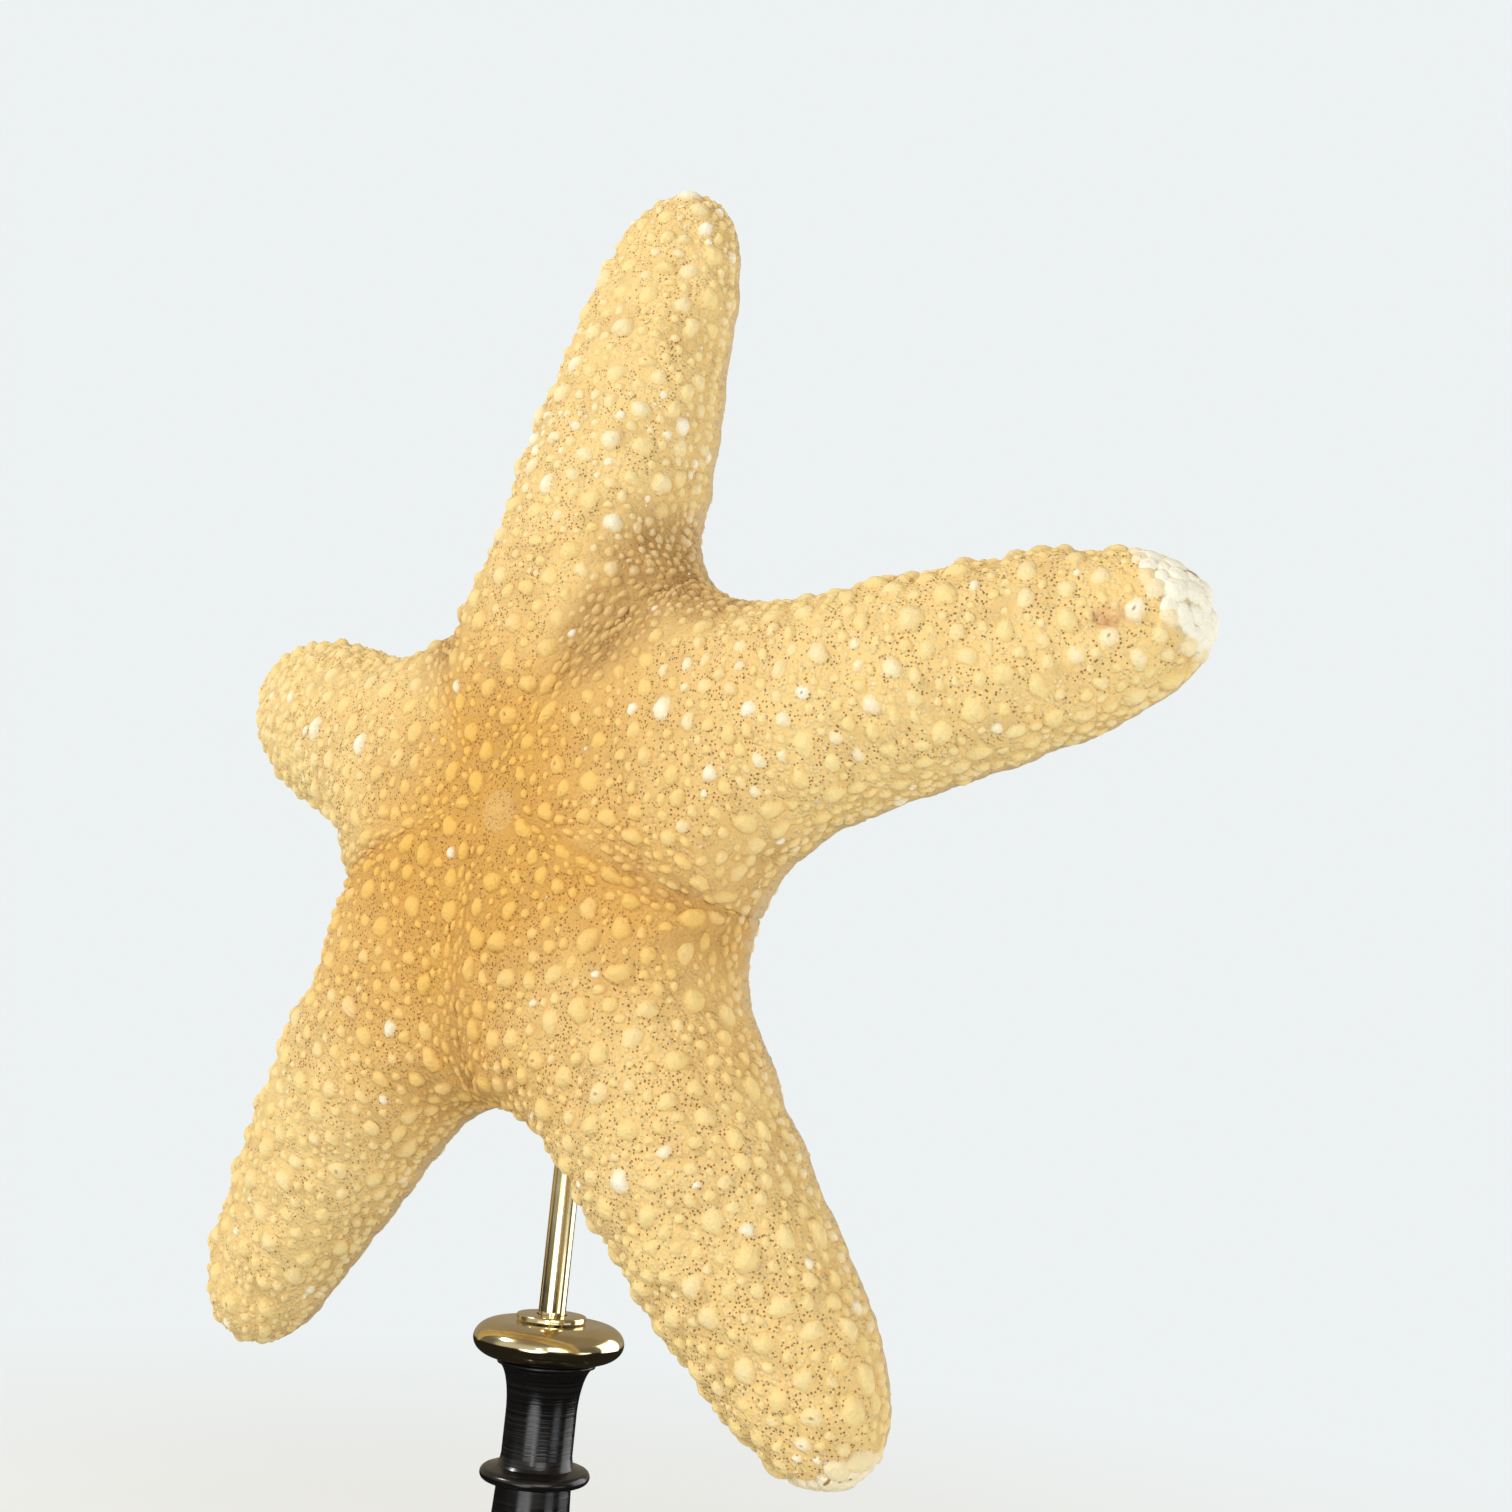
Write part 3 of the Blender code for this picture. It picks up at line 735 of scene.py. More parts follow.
def add_knob(bm, chance, kind, spot, size, marks, lean=0.0, pitted=False, curve=CURVE_RADIUS):
    """Add one knob on the skin: size is (radius along, radius across, height)."""
    form = KINDS[kind]
    place, normal, ahead = spot
    aside = normal.cross(ahead)
    long, wide, tall = size
    phase = [chance.uniform(0, math.tau) for _ in range(3)]
    layers = form["grid"].verts.layers.float.values()
    strength = {"great": 1.0, "middle": 0.9, "small": 0.5, "plate": 1.0}[kind]
    for vert, flat in zip(form["grid"].verts, form["flat"]):
        share = min(flat.length, 1.0)
        crown = 0.5 + 0.5 * math.cos(math.pi * share ** form["sharp"])
        angle = math.atan2(flat.y, flat.x)
        swell = 1 + 0.09 * math.cos(2 * angle + phase[0]) + 0.06 * math.cos(3 * angle + phase[1])
        swell += 0.04 * math.cos(5 * angle + phase[2])
        x = long * flat.x * swell
        y = wide * (flat.y * swell + lean * (1 - share * share))
        height = tall * crown - (x * x + y * y) / (2 * curve) - FOOT_SINK * share
        height -= SKIRT * share ** 14
        dip = 1.0 if pitted and share < 0.05 else 0.0
        vert.co = place + ahead * x + aside * y + normal * (height - 0.25 * tall * dip)
        for layer, value in zip(layers, marks):
            vert[layer] = value
        vert[layers[3]] = crown * strength
        vert[layers[4]] = marks[4] * crown
        vert[layers[6]] = dip
    form["grid"].to_mesh(scratch_mesh)
    bm.from_mesh(scratch_mesh, face_normals=False, vertex_normals=False)


# %% Keep knobs clear of each other
CELL = 0.005


class Crowd:
    """Knobs already placed, kept in cells so that near ones are found quickly."""

    def __init__(self):
        self.cells = {}

    def key(self, place):
        return tuple(int(math.floor(value / CELL)) for value in place)

    def clear(self, place, radius, closeness):
        x, y, z = self.key(place)
        for i in (x - 1, x, x + 1):
            for j in (y - 1, y, y + 1):
                for k in (z - 1, z, z + 1):
                    for other, size in self.cells.get((i, j, k), ()):
                        if (other - place).length < (radius + size) * closeness:
                            return False
        return True

    def add(self, place, radius):
        self.cells.setdefault(self.key(place), []).append((place, radius))


# %% How much skin lies at each place, for an even strewing
AREA_ROWS = 50
AREA_COLUMNS = 10


def area_at(s, t, upper):
    """Skin covered by one small step of s and t."""
    a = star_point(0, min(s + 0.01, 1), t, upper) - star_point(0, max(s - 0.01, 0), t, upper)
    b = star_point(0, s, min(t + 0.05, 1), upper) - star_point(0, s, max(t - 0.05, -1), upper)
    return a.cross(b).length


def area_table(upper):
    """Shares of skin over the arm, the largest being 1."""
    rows = [
        [area_at((i + 0.5) / AREA_ROWS, (j + 0.5) / AREA_COLUMNS, upper) for j in range(AREA_COLUMNS)]
        for i in range(AREA_ROWS)
    ]
    most = max(max(row) for row in rows)
    return [[value / most for value in row] for row in rows]


AREAS = {True: area_table(True), False: area_table(False)}


def area_share(s, t, upper):
    """Share of skin at a place, from the table."""
    row = AREAS[upper][min(int(s * AREA_ROWS), AREA_ROWS - 1)]
    return row[min(int(abs(t) * AREA_COLUMNS), AREA_COLUMNS - 1)]


# %% Notable knobs of the photo
# Arm, reach, side, radius in mm, paleness and whether its crown has a pit.
NOTABLE = (
    (4, 0.295, 0.10, 1.3, 1.0, 0), (4, 0.385, 0.18, 1.4, 0.7, 0), (4, 0.350, 0.16, 1.3, 0.4, 0),
    (4, 0.380, 0.08, 1.0, 0.6, 0), (4, 0.410, 0.06, 1.7, 0.2, 0), (4, 0.380, -0.04, 1.7, 0.4, 0),
    (4, 0.295, 0.00, 1.8, 0.1, 0), (4, 0.235, 0.02, 2.0, 0.0, 0), (4, 0.195, 0.32, 1.7, 0.1, 0),
    (4, 0.465, -0.08, 1.7, 0.9, 0), (4, 0.535, -0.08, 1.4, 1.0, 1), (4, 0.505, -0.18, 1.5, 0.6, 0),
    (4, 0.430, -0.16, 1.7, 0.0, 0), (4, 0.460, 0.12, 1.2, 0.5, 0), (4, 0.460, 0.24, 1.6, 0.3, 0),
    (4, 0.560, 0.08, 2.1, 0.3, 0), (4, 0.605, 0.08, 1.2, 0.6, 0), (4, 0.605, -0.02, 1.2, 0.5, 0),
    (4, 0.645, -0.08, 1.9, 0.5, 0), (4, 0.560, -0.36, 1.3, 0.5, 0), (4, 0.610, -0.24, 1.8, 0.6, 0),
    (4, 0.395, -0.28, 1.6, 0.8, 0), (4, 0.460, -0.34, 1.5, 0.6, 0), (4, 0.490, -0.36, 1.1, 0.5, 0),
    (4, 0.345, -0.18, 1.8, 0.0, 0), (4, 0.440, -0.48, 1.2, 0.6, 0), (4, 0.380, -0.34, 0.9, 0.8, 0),
    (4, 0.500, -0.52, 1.8, 0.0, 0), (4, 0.540, -0.50, 1.8, 0.1, 0), (4, 0.575, -0.50, 1.3, 0.5, 0),
    (4, 0.340, -0.42, 1.4, 0.4, 0), (4, 0.920, -0.06, 2.0, 0.8, 1), (4, 0.885, -0.20, 1.9, 0.5, 1),
    (4, 0.845, -0.26, 1.7, 0.4, 0), (4, 0.910, -0.44, 1.7, 0.4, 0), (4, 0.940, -0.32, 1.6, 0.2, 0),
    (4, 0.890, 0.24, 1.9, 0.3, 0), (4, 0.940, 0.22, 1.9, 0.2, 0), (4, 0.805, 0.14, 1.9, 0.3, 0),
    (3, 0.915, 0.18, 2.0, 0.2, 1), (3, 0.935, 0.00, 1.4, 0.6, 1), (3, 0.945, -0.12, 0.9, 1.0, 0),
    (3, 0.958, 0.02, 0.8, 1.0, 0), (4, 0.520, 0.76, 2.2, 0.2, 0), (4, 0.590, 0.80, 2.3, 0.2, 0),
    (4, 0.660, 0.78, 2.2, 0.1, 0), (4, 0.725, 0.80, 2.4, 0.2, 0), (4, 0.790, 0.77, 2.2, 0.2, 0),
    (4, 0.850, 0.80, 2.1, 0.1, 0),
)
print(len(NOTABLE), "knobs have set places")


def dress_marks(index, s, t, upper, pale):
    """Marks of a knob at a place, with its paleness."""
    marks = skin_marks(index, s, t, upper)
    marks[MARKS.index("pale")] = pale
    return marks


def add_notable(bm, index, crowd, chance):
    """Add the notable knobs of one arm."""
    for arm_index, s, t, radius, pale, pitted in NOTABLE:
        if arm_index != index:
            continue
        radius *= 0.001
        crowd.add(star_point(index, s, t, True), radius)
        size = (radius * 1.08, radius * 1.22, radius * 0.42)
        marks = dress_marks(index, s, t, True, pale)
        spot = knob_frame(index, s, t, True)
        kind = "great" if radius > 0.0012 else "middle"
        add_knob(bm, chance, kind, spot, size, marks, 0.0, bool(pitted))


# %% Strew knobs over one arm
KNOB_PASSES = (
    {"kind": "plate", "radius": (0.0014, 0.0025), "flank": 1.0, "tries": 9000, "close": 0.64},
    {"kind": "great", "radius": (0.0016, 0.0026), "flank": 0.84, "tries": 1100, "close": 1.10},
    {"kind": "middle", "radius": (0.0011, 0.0016), "flank": 0.98, "tries": 3200, "close": 1.0},
    {"kind": "middle", "radius": (0.0008, 0.0011), "flank": 1.0, "tries": 4800, "close": 1.0},
    {"kind": "small", "radius": (0.00045, 0.0007), "flank": 1.0, "tries": 6000, "close": 1.02},
    {"kind": "small", "radius": (0.00032, 0.00045), "flank": 1.0, "tries": 9000, "close": 1.10},
)


def paleness(chance, index, s, t):
    """Paleness of one knob: few are pale on the disc, many on the top arm's middle."""
    bias = 0.45 if index == 0 else 0.26
    bias *= ease(0.0, 0.5, s) * (1 - 0.5 * abs(t))
    cluster = math.exp(-((s - 0.57) / 0.07) ** 2) if index == 0 else 0.0
    if chance.random() < 0.012 + 0.020 * ease(0.2, 0.5, s) + 0.30 * cluster:
        return chance.uniform(0.75, 1.0)
    return min(bias * (chance.random() ** 2 + 0.5 * cluster), 1.0)


def strew_knobs(bm, index, crowd, chance):
    """Strew the knobs of one arm's upper side and its share of the disc."""
    count = 0
    for step in KNOB_PASSES:
        plate = step["kind"] == "plate"
        for _ in range(step["tries"]):
            s = chance.uniform(0.93, 0.998) if plate else chance.uniform(0.0, 0.996)
            t = chance.uniform(-0.98, 0.98)
            white = in_white_end(index, s, t) > 0.3
            if abs(t) > step["flank"] or white != plate:
                continue
            if not plate and chance.random() > area_share(s, t, True):
                continue
            flank = ease(0.35, 0.95, abs(t))
            # Deep in the valleys between arms, where the finish paints shade and dirt, knobs are smaller
            # and packed closer.
            in_shaded_valley = skin_marks(index, s, t, True)[1] > 0.8
            if in_shaded_valley and step["kind"] == "great":
                continue
            radius = chance.uniform(*step["radius"]) * (1 - 0.20 * flank) * (0.92 if in_shaded_valley else 1)
            place = star_point(index, s, t, True)
            if not crowd.clear(place, radius, step["close"] * (0.74 if in_shaded_valley else 1 - 0.20 * flank)):
                continue
            crowd.add(place, radius)
            stretch = chance.uniform(0.82, 1.02) + 0.55 * flank * (not plate)
            marks = dress_marks(index, s, t, True, paleness(chance, index, s, t))
            spread = 1.16 * radius
            tall = radius * KINDS[step["kind"]]["height"] * chance.uniform(0.75, 1.2)
            size = (spread * stretch, spread / stretch ** 0.6, tall * (1 + 0.25 * flank))
            lean = math.copysign(0.30 * flank, t) * (not plate)
            pitted = step["kind"] == "great" and chance.random() < 0.04
            spot = knob_frame(index, s, t, True)
            add_knob(bm, chance, step["kind"], spot, size, marks, lean, pitted)
            count += 1
    return count


crowd = Crowd()
MADREPORITE = (3, 0.045, 0.80, 0.0048)
crowd.add(star_point(*MADREPORITE[:3], True), MADREPORITE[3])
knob_meshes = {}
for arm_number, arm in enumerate(ARMS):
    knob_meshes[arm_number] = new_bmesh()
    add_notable(knob_meshes[arm_number], arm_number, crowd, random.Random(50 + arm_number))
for arm_number, arm in enumerate(ARMS):
    knobs = knob_meshes[arm_number]
    made = strew_knobs(knobs, arm_number, crowd, random.Random(100 + arm_number))
    knob_piece = finish_piece("knobs_" + arm["name"], knobs, STAR_SKIN)
    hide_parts("starfish")
    print(arm["name"], "arm:", made, "knobs,", len(knob_piece.data.polygons), "faces")

# %% [markdown]
# ## Sieve plate, margins and underside
#
# Off the disc's middle lies the sieve plate, a flat round button with wandering furrows. Along
# each arm's margin runs a row of larger plates. The underside has an open groove down each arm,
# with two rows of blunt spines on each side of it and a pavement of small plates beyond. The
# plates reuse the knob, with other sizes, and the spines are slim spheres that lean to the
# groove. All stay inside the rim, so that none shows its hollow back from the front.

# %% Sieve plate
def furrow(x, y, radius):
    """Height of the wandering furrows on the sieve plate, between 0 and 1."""
    angle = math.atan2(y, x)
    bend = 5.0 * noise.noise(Vector((x, y, 0)) / radius * 1.9)
    return 0.5 + 0.5 * math.cos(11 * angle + 5 * bend)


def build_sieve_plate():
    """Round plate with furrows, set on the disc."""
    index, s, t, radius = MADREPORITE
    place, normal, ahead = knob_frame(index, s, t, True)
    aside = normal.cross(ahead)
    bm = round_grid(44)
    layers = bm.verts.layers.float.values()
    marks = dress_marks(index, s, t, True, 0.07)
    for vert in bm.verts:
        share = min(vert.co.length, 1.0)
        x, y = vert.co.x * radius, vert.co.y * radius
        crown = 1 - ease(0.70, 1.0, share)
        cut = furrow(x, y, radius) * ease(0.12, 0.3, share) * crown
        height = 0.0006 * crown + 0.0003 * (1 - share * share) - 0.00016 * cut - 0.0002 * share
        vert.co = place + ahead * x + aside * y + normal * (height - (x * x + y * y) / 0.06)
        for layer, value in zip(layers, marks):
            vert[layer] = value
        vert[layers[3]] = 0.26 + 0.16 * crown * (1 - cut)
    piece = finish_piece("sieve_plate", bm, STAR_SKIN)
    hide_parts("starfish")


build_sieve_plate()


# %% Margin plates
MARGIN_STEP = 0.0026
MARGIN_CURVE = 0.0045


def add_margin_plates(bm, index, chance):
    """Add a row of plates along both margins of one arm, above and below the edge."""
    rows = int((1 - ROOT) * ARM_LENGTH / MARGIN_STEP)
    for side in (-1, 1):
        for row in range(rows + 1):
            s = ROOT + (0.985 - ROOT) * (row + chance.uniform(-0.2, 0.2)) / rows
            s = max(s, ROOT + 0.004)
            inward = side_for(s, half_width(s) - 0.0018)
            for upper, t in ((True, 0.94), (False, inward)):
                if not upper and s > 0.95:
                    continue
                # The lower row is made pale as painted light: a bright rim along the underside edge of
                # each arm.
                pale = chance.uniform(0.1, 0.4) if upper else chance.uniform(0.6, 0.9)
                marks = dress_marks(index, s, side * t, upper, pale)
                radius = 0.00135 * chance.uniform(0.85, 1.15)
                size = (radius * 1.15, radius * 0.95, radius * 0.42)
                spot = knob_frame(index, s, side * t, upper)
                add_knob(bm, chance, "middle", spot, size, marks, curve=MARGIN_CURVE)


def side_for(s, across):
    """The t of a point of the underside that lies at a distance across from the arm's middle."""
    wide = half_width(s)
    border = wide if s >= ROOT else min(s * ARM_LENGTH * math.tan(WEDGE), wide)
    opening = math.acos(min(border / wide, 1.0) ** (1 / SECTION_POWER))
    share = min(abs(across) / wide, 1.0) ** (1 / SECTION_POWER)
    return math.copysign((math.pi / 2 - math.acos(share)) / (math.pi / 2 - opening), across)


# %% Spines beside the grooves
SPINE_STEP = 0.00125
SPINE_ROWS = ((0.0046, 0.00042, 0.0021), (0.0060, 0.00050, 0.0017))


def add_spine(bm, chance, spot, radius, length, marks, toward):
    """Add one blunt spine that leans toward the groove."""
    place, normal, ahead = spot
    aside = normal.cross(ahead)
    axis = (normal + aside * toward + ahead * chance.uniform(-0.15, 0.15)).normalized()
    turn = axis.to_track_quat("Z", "Y").to_matrix().to_4x4()
    peg = new_bmesh()
    bmesh.ops.create_uvsphere(peg, u_segments=7, v_segments=6, radius=1)
    layers = peg.verts.layers.float.values()
    for vert in peg.verts:
        slim = radius * (0.85 + 0.15 * vert.co.z)
        vert.co = Vector((vert.co.x * slim, vert.co.y * slim, vert.co.z * length * 0.6))
        vert.co.z += length * 0.42
        for layer, value in zip(layers, marks):
            vert[layer] = value
    bmesh.ops.transform(peg, matrix=Matrix.Translation(place) @ turn, verts=peg.verts)
    peg.to_mesh(scratch_mesh)
    peg.free()
    bm.from_mesh(scratch_mesh, face_normals=False, vertex_normals=False)


def add_groove_spines(bm, index, chance):
    """Add the spines on both sides of one arm's groove."""
    count = int(0.80 * ARM_LENGTH / SPINE_STEP)
    for across, radius, length in SPINE_ROWS:
        for side in (-1, 1):
            for row in range(count):
                s = 0.085 + 0.80 * row / count
                short = 1 - 0.60 * ease(0.62, 0.88, s)
                offset = side * across * short
                if abs(offset) > 0.93 * min(half_width(s), s * ARM_LENGTH * math.tan(WEDGE)):
                    continue
                spot = knob_frame(index, s, side_for(s, offset), False)
                marks = dress_marks(index, s, 0.0, False, 0.25)
                marks[3] = 0.6
                add_spine(bm, chance, spot, radius, length * short, marks, 0.25 * side)


# %% Pavement of the underside
def strew_pavement(bm, index, chance):
    """Strew small plates over the underside outside the groove."""
    beds = Crowd()
    for radius_low, radius_high, tries in ((0.0010, 0.0014, 3400), (0.0005, 0.0008, 7000)):
        for _ in range(tries):
            s = chance.uniform(0.09, 0.985)
            t = chance.uniform(-0.9, 0.9)
            across, _height = section_point(s, t, False)
            if abs(across) < 0.0068 or chance.random() > area_share(s, t, False):
                continue
            radius = chance.uniform(radius_low, radius_high)
            room = section_point(s, 1.0, False)[0] - 1.2 * radius
            place = star_point(index, s, t, False)
            if s >= ROOT and abs(across) > room:
                continue
            if not beds.clear(place, radius, 0.95):
                continue
            beds.add(place, radius)
            marks = dress_marks(index, s, t, False, 0.2 * chance.random())
            size = (radius * 1.05, radius * 1.15, radius * 0.45)
            kind = "middle" if radius > 0.0009 else "small"
            add_knob(bm, chance, kind, knob_frame(index, s, t, False), size, marks)


for arm_number, arm in enumerate(ARMS):
    chance = random.Random(300 + arm_number)
    under = new_bmesh()
    add_margin_plates(under, arm_number, chance)
    add_groove_spines(under, arm_number, chance)
    strew_pavement(under, arm_number, chance)
    under_piece = finish_piece("underside_" + arm["name"], under, STAR_SKIN)
    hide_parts("starfish")
    print(arm["name"], "underside:", len(under_piece.data.polygons), "faces")

# %% [markdown]
# ## Polished brass and black wood
#
# The stand's pieces are turned on a lathe, so each is a profile spun round the stand's axis. They
# take the place of the plain solids, which have the same sizes but fewer sides. The rod is a
# curve with a round bevel, because it bends forward into the mouth. Polished metal shows little
# colour of its own, so most of its look comes from what it mirrors, below.

# %% Brass and wood
BRASS_BRIGHT = (0.880, 0.780, 0.500, 1)
BRASS_DULL = (0.660, 0.520, 0.250, 1)
WOOD_BLACK = (0.004, 0.004, 0.004, 1)
WOOD_STREAK = (0.012, 0.011, 0.011, 1)


def brass_finish():
    """Polished brass with faint smears."""
    material, tree, shader = new_material("polished_brass", 0.14, 1.0)
    coordinates = tree.nodes.new("ShaderNodeTexCoord").outputs["Object"]
    smear = noise_node(tree, coordinates, 180, 3)
    colour = mix_node(tree, smear, BRASS_BRIGHT, BRASS_DULL)
    feed(tree, shader.inputs["Base Color"], colour)
    feed(tree, shader.inputs["Roughness"], span_node(tree, smear, 0.3, 0.7, 0.10, 0.20))
    return material


def wood_finish():
    """Black turned wood: satin, with fine lathe lines round the axis."""
    material, tree, shader = new_material("black_wood", 0.30)
    coordinates = tree.nodes.new("ShaderNodeTexCoord").outputs["Object"]
    squash = tree.nodes.new("ShaderNodeMapping")
    squash.inputs["Scale"].default_value = (40, 40, 3200)
    feed(tree, squash.inputs["Vector"], coordinates)
    lines = noise_node(tree, squash.outputs["Vector"], 1.0, 3)
    streaks = span_node(tree, lines, 0.35, 0.75)
    feed(tree, shader.inputs["Base Color"], mix_node(tree, streaks, WOOD_BLACK, WOOD_STREAK))
    shader.inputs["Specular IOR Level"].default_value = 0.45
    feed(tree, shader.inputs["Roughness"], span_node(tree, lines, 0.3, 0.7, 0.15, 0.27))
    add_bump(tree, shader, lines, 0.35, 0.0001)
    return material


BRASS = brass_finish()
BLACK_WOOD = wood_finish()

# %% Sizes of the stand
GAP = 0.0003
COLLAR_MIDDLE = 0.0759
COLLAR_THICKNESS = 0.0062
COLLAR_RADIUS = 0.0132
COLLAR_BULGE = 0.0044
WASHER_THICKNESS = 0.0009
WASHER_RADIUS = 0.0061
ROD_RADIUS = 0.0024
BORE_RADIUS = ROD_RADIUS + GAP
FOOT_HEIGHT = 0.0140
STEM_TOP = COLLAR_MIDDLE - COLLAR_THICKNESS / 2 - GAP
STEM_SHOULDER = FOOT_HEIGHT + GAP
FLANGE_MIDDLE = COLLAR_MIDDLE - 0.0220
STEM_FLARE_RADIUS = 0.00865
STEM_NECK_RADIUS = 0.00615
FLANGE_RADIUS = 0.0095
FLANGE_THICKNESS = 0.0020
STEM_BELLY_RADIUS = 0.0070
STEM_ANKLE_RADIUS = 0.0058
BEAD_RADIUS = 0.0086
TENON_RADIUS = 0.0040
TENON_LENGTH = 0.0080
FOOT_RADIUS = 0.0480
FOOT_EDGE_HEIGHT = 0.0056
FOOT_TOP_RADIUS = 0.0135
ROD_SEAT = 0.0140
ROD_BEND_RADIUS = 0.0052
ROD_REACH = 0.0115
LATHE_STEPS = 144
print("the stem's top is", round(1000 * STEM_TOP, 1), "mm above the shelf")


# %% Turning on the lathe
def arc(middle, radius, start, end, count):
    """Points of an arc in a turned profile, as (radius from the axis, height)."""
    points = []
    for step in range(count + 1):
        angle = math.radians(start + (end - start) * step / count)
        points.append((middle[0] + radius[0] * math.cos(angle), middle[1] + radius[1] * math.sin(angle)))
    return points


def turn_piece(node, profile, material, closed):
    """Turn a profile of (radius, height) about the stand's axis, in place of the plain solid."""
    bm = bmesh.new()
    verts = [bm.verts.new((radius, 0, height)) for radius, height in profile]
    pairs = list(zip(verts, verts[1:]))
    if closed:
        pairs.append((verts[-1], verts[0]))
    edges = [bm.edges.new(pair) for pair in pairs]
    bmesh.ops.spin(
        bm, geom=verts + edges, cent=(0, 0, 0), axis=(0, 0, 1), angle=math.tau,
        steps=LATHE_STEPS, use_merge=True,
    )
    bmesh.ops.remove_doubles(bm, verts=bm.verts, dist=0.00001)
    bmesh.ops.recalc_face_normals(bm, faces=bm.faces)
    piece = make_piece(node + "_turned", bm, material)
    piece.data.set_sharp_from_angle(angle=math.radians(35))
    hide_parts(node)
    print(node, "turned:", len(piece.data.polygons), "faces")
    return piece


# %% Washer and collar
washer_low = COLLAR_MIDDLE + COLLAR_THICKNESS / 2 + GAP
washer_high = washer_low + WASHER_THICKNESS
washer_profile = [(BORE_RADIUS, washer_low), (WASHER_RADIUS, washer_low)]
washer_profile += arc((WASHER_RADIUS - 0.0003, washer_high - 0.0003), (0.0003, 0.0003), 0, 90, 5)
washer_profile.append((BORE_RADIUS, washer_high))
turn_piece("stand_washer", washer_profile, BRASS, True)

half = COLLAR_THICKNESS / 2
collar_profile = [(BORE_RADIUS, COLLAR_MIDDLE - half)]
collar_profile += arc((COLLAR_RADIUS - COLLAR_BULGE, COLLAR_MIDDLE), (COLLAR_BULGE, half), -90, 90, 36)
collar_profile.append((BORE_RADIUS, COLLAR_MIDDLE + half))
turn_piece("stand_collar", collar_profile, BRASS, True)


# %% Stem
def smooth_run(stations, count):
    """Points of a turned profile on a smooth curve through (height, radius) stations."""
    low, high = stations[0][0], stations[-1][0]
    heights = [low + (high - low) * step / count for step in range(count + 1)]
    return [(along(stations, height), height) for height in heights]


def stem_profile():
    """Outline of the stem, from the bottom of its tenon up to the bottom of the rod's hole."""
    bottom = FOOT_HEIGHT - TENON_LENGTH + GAP
    half = FLANGE_THICKNESS / 2
    bead = (BEAD_RADIUS - 0.0016, STEM_SHOULDER + 0.0016)
    profile = [(0, bottom), (TENON_RADIUS, bottom), (TENON_RADIUS, STEM_SHOULDER)]
    profile += arc(bead, (0.0016, 0.0016), -90, 90, 14)
    profile += smooth_run((
        (STEM_SHOULDER + 0.0044, STEM_ANKLE_RADIUS),
        (FLANGE_MIDDLE - 0.0180, STEM_BELLY_RADIUS),
        (FLANGE_MIDDLE - half - 0.0002, STEM_NECK_RADIUS + 0.0003),
    ), 24)
    profile += arc((FLANGE_RADIUS - half, FLANGE_MIDDLE), (half, half), -90, 90, 12)
    profile.append((STEM_NECK_RADIUS + 0.0006, FLANGE_MIDDLE + half + 0.0004))
    profile.append((STEM_NECK_RADIUS + 0.0002, FLANGE_MIDDLE + half + 0.0010))
    profile.append((STEM_NECK_RADIUS, FLANGE_MIDDLE + half + 0.0022))
    flare = (STEM_FLARE_RADIUS, STEM_TOP - 0.0088)
    profile += arc(flare, (STEM_FLARE_RADIUS - STEM_NECK_RADIUS, 0.0082), 180, 92, 22)
    profile += arc((STEM_FLARE_RADIUS - 0.0003, STEM_TOP - 0.0003), (0.0003, 0.0003), 0, 90, 5)
    profile.append((BORE_RADIUS, STEM_TOP))
    profile.append((BORE_RADIUS, STEM_TOP - ROD_SEAT - GAP))
    profile.append((0, STEM_TOP - ROD_SEAT - GAP))
    return profile


turn_piece("stand_stem", stem_profile(), BLACK_WOOD, False)


# %% Foot
def foot_profile():
    """Outline of the foot, from the middle of its underside to the bottom of its hole."""
    hole = TENON_RADIUS + GAP
    edge = FOOT_EDGE_HEIGHT / 2
    profile = [(0, 0), (FOOT_RADIUS - 0.0012, 0), (FOOT_RADIUS, 0.0012)]
    profile += arc((FOOT_RADIUS - edge, edge + 0.0008), (edge, edge), 0, 90, 14)
    profile.append((FOOT_RADIUS - edge - 0.0010, FOOT_EDGE_HEIGHT + 0.0018))
    rise = FOOT_HEIGHT - FOOT_EDGE_HEIGHT - 0.0018
    run = FOOT_RADIUS - edge - 0.0010 - FOOT_TOP_RADIUS
    profile += arc((FOOT_TOP_RADIUS + run, FOOT_HEIGHT), (run, rise), 268, 182, 24)
    profile.append((FOOT_TOP_RADIUS - 0.0005, FOOT_HEIGHT))
    floor = FOOT_HEIGHT - TENON_LENGTH
    profile += [(hole, FOOT_HEIGHT), (hole, floor), (0, floor)]
    return profile


turn_piece("stand_foot", foot_profile(), BLACK_WOOD, False)


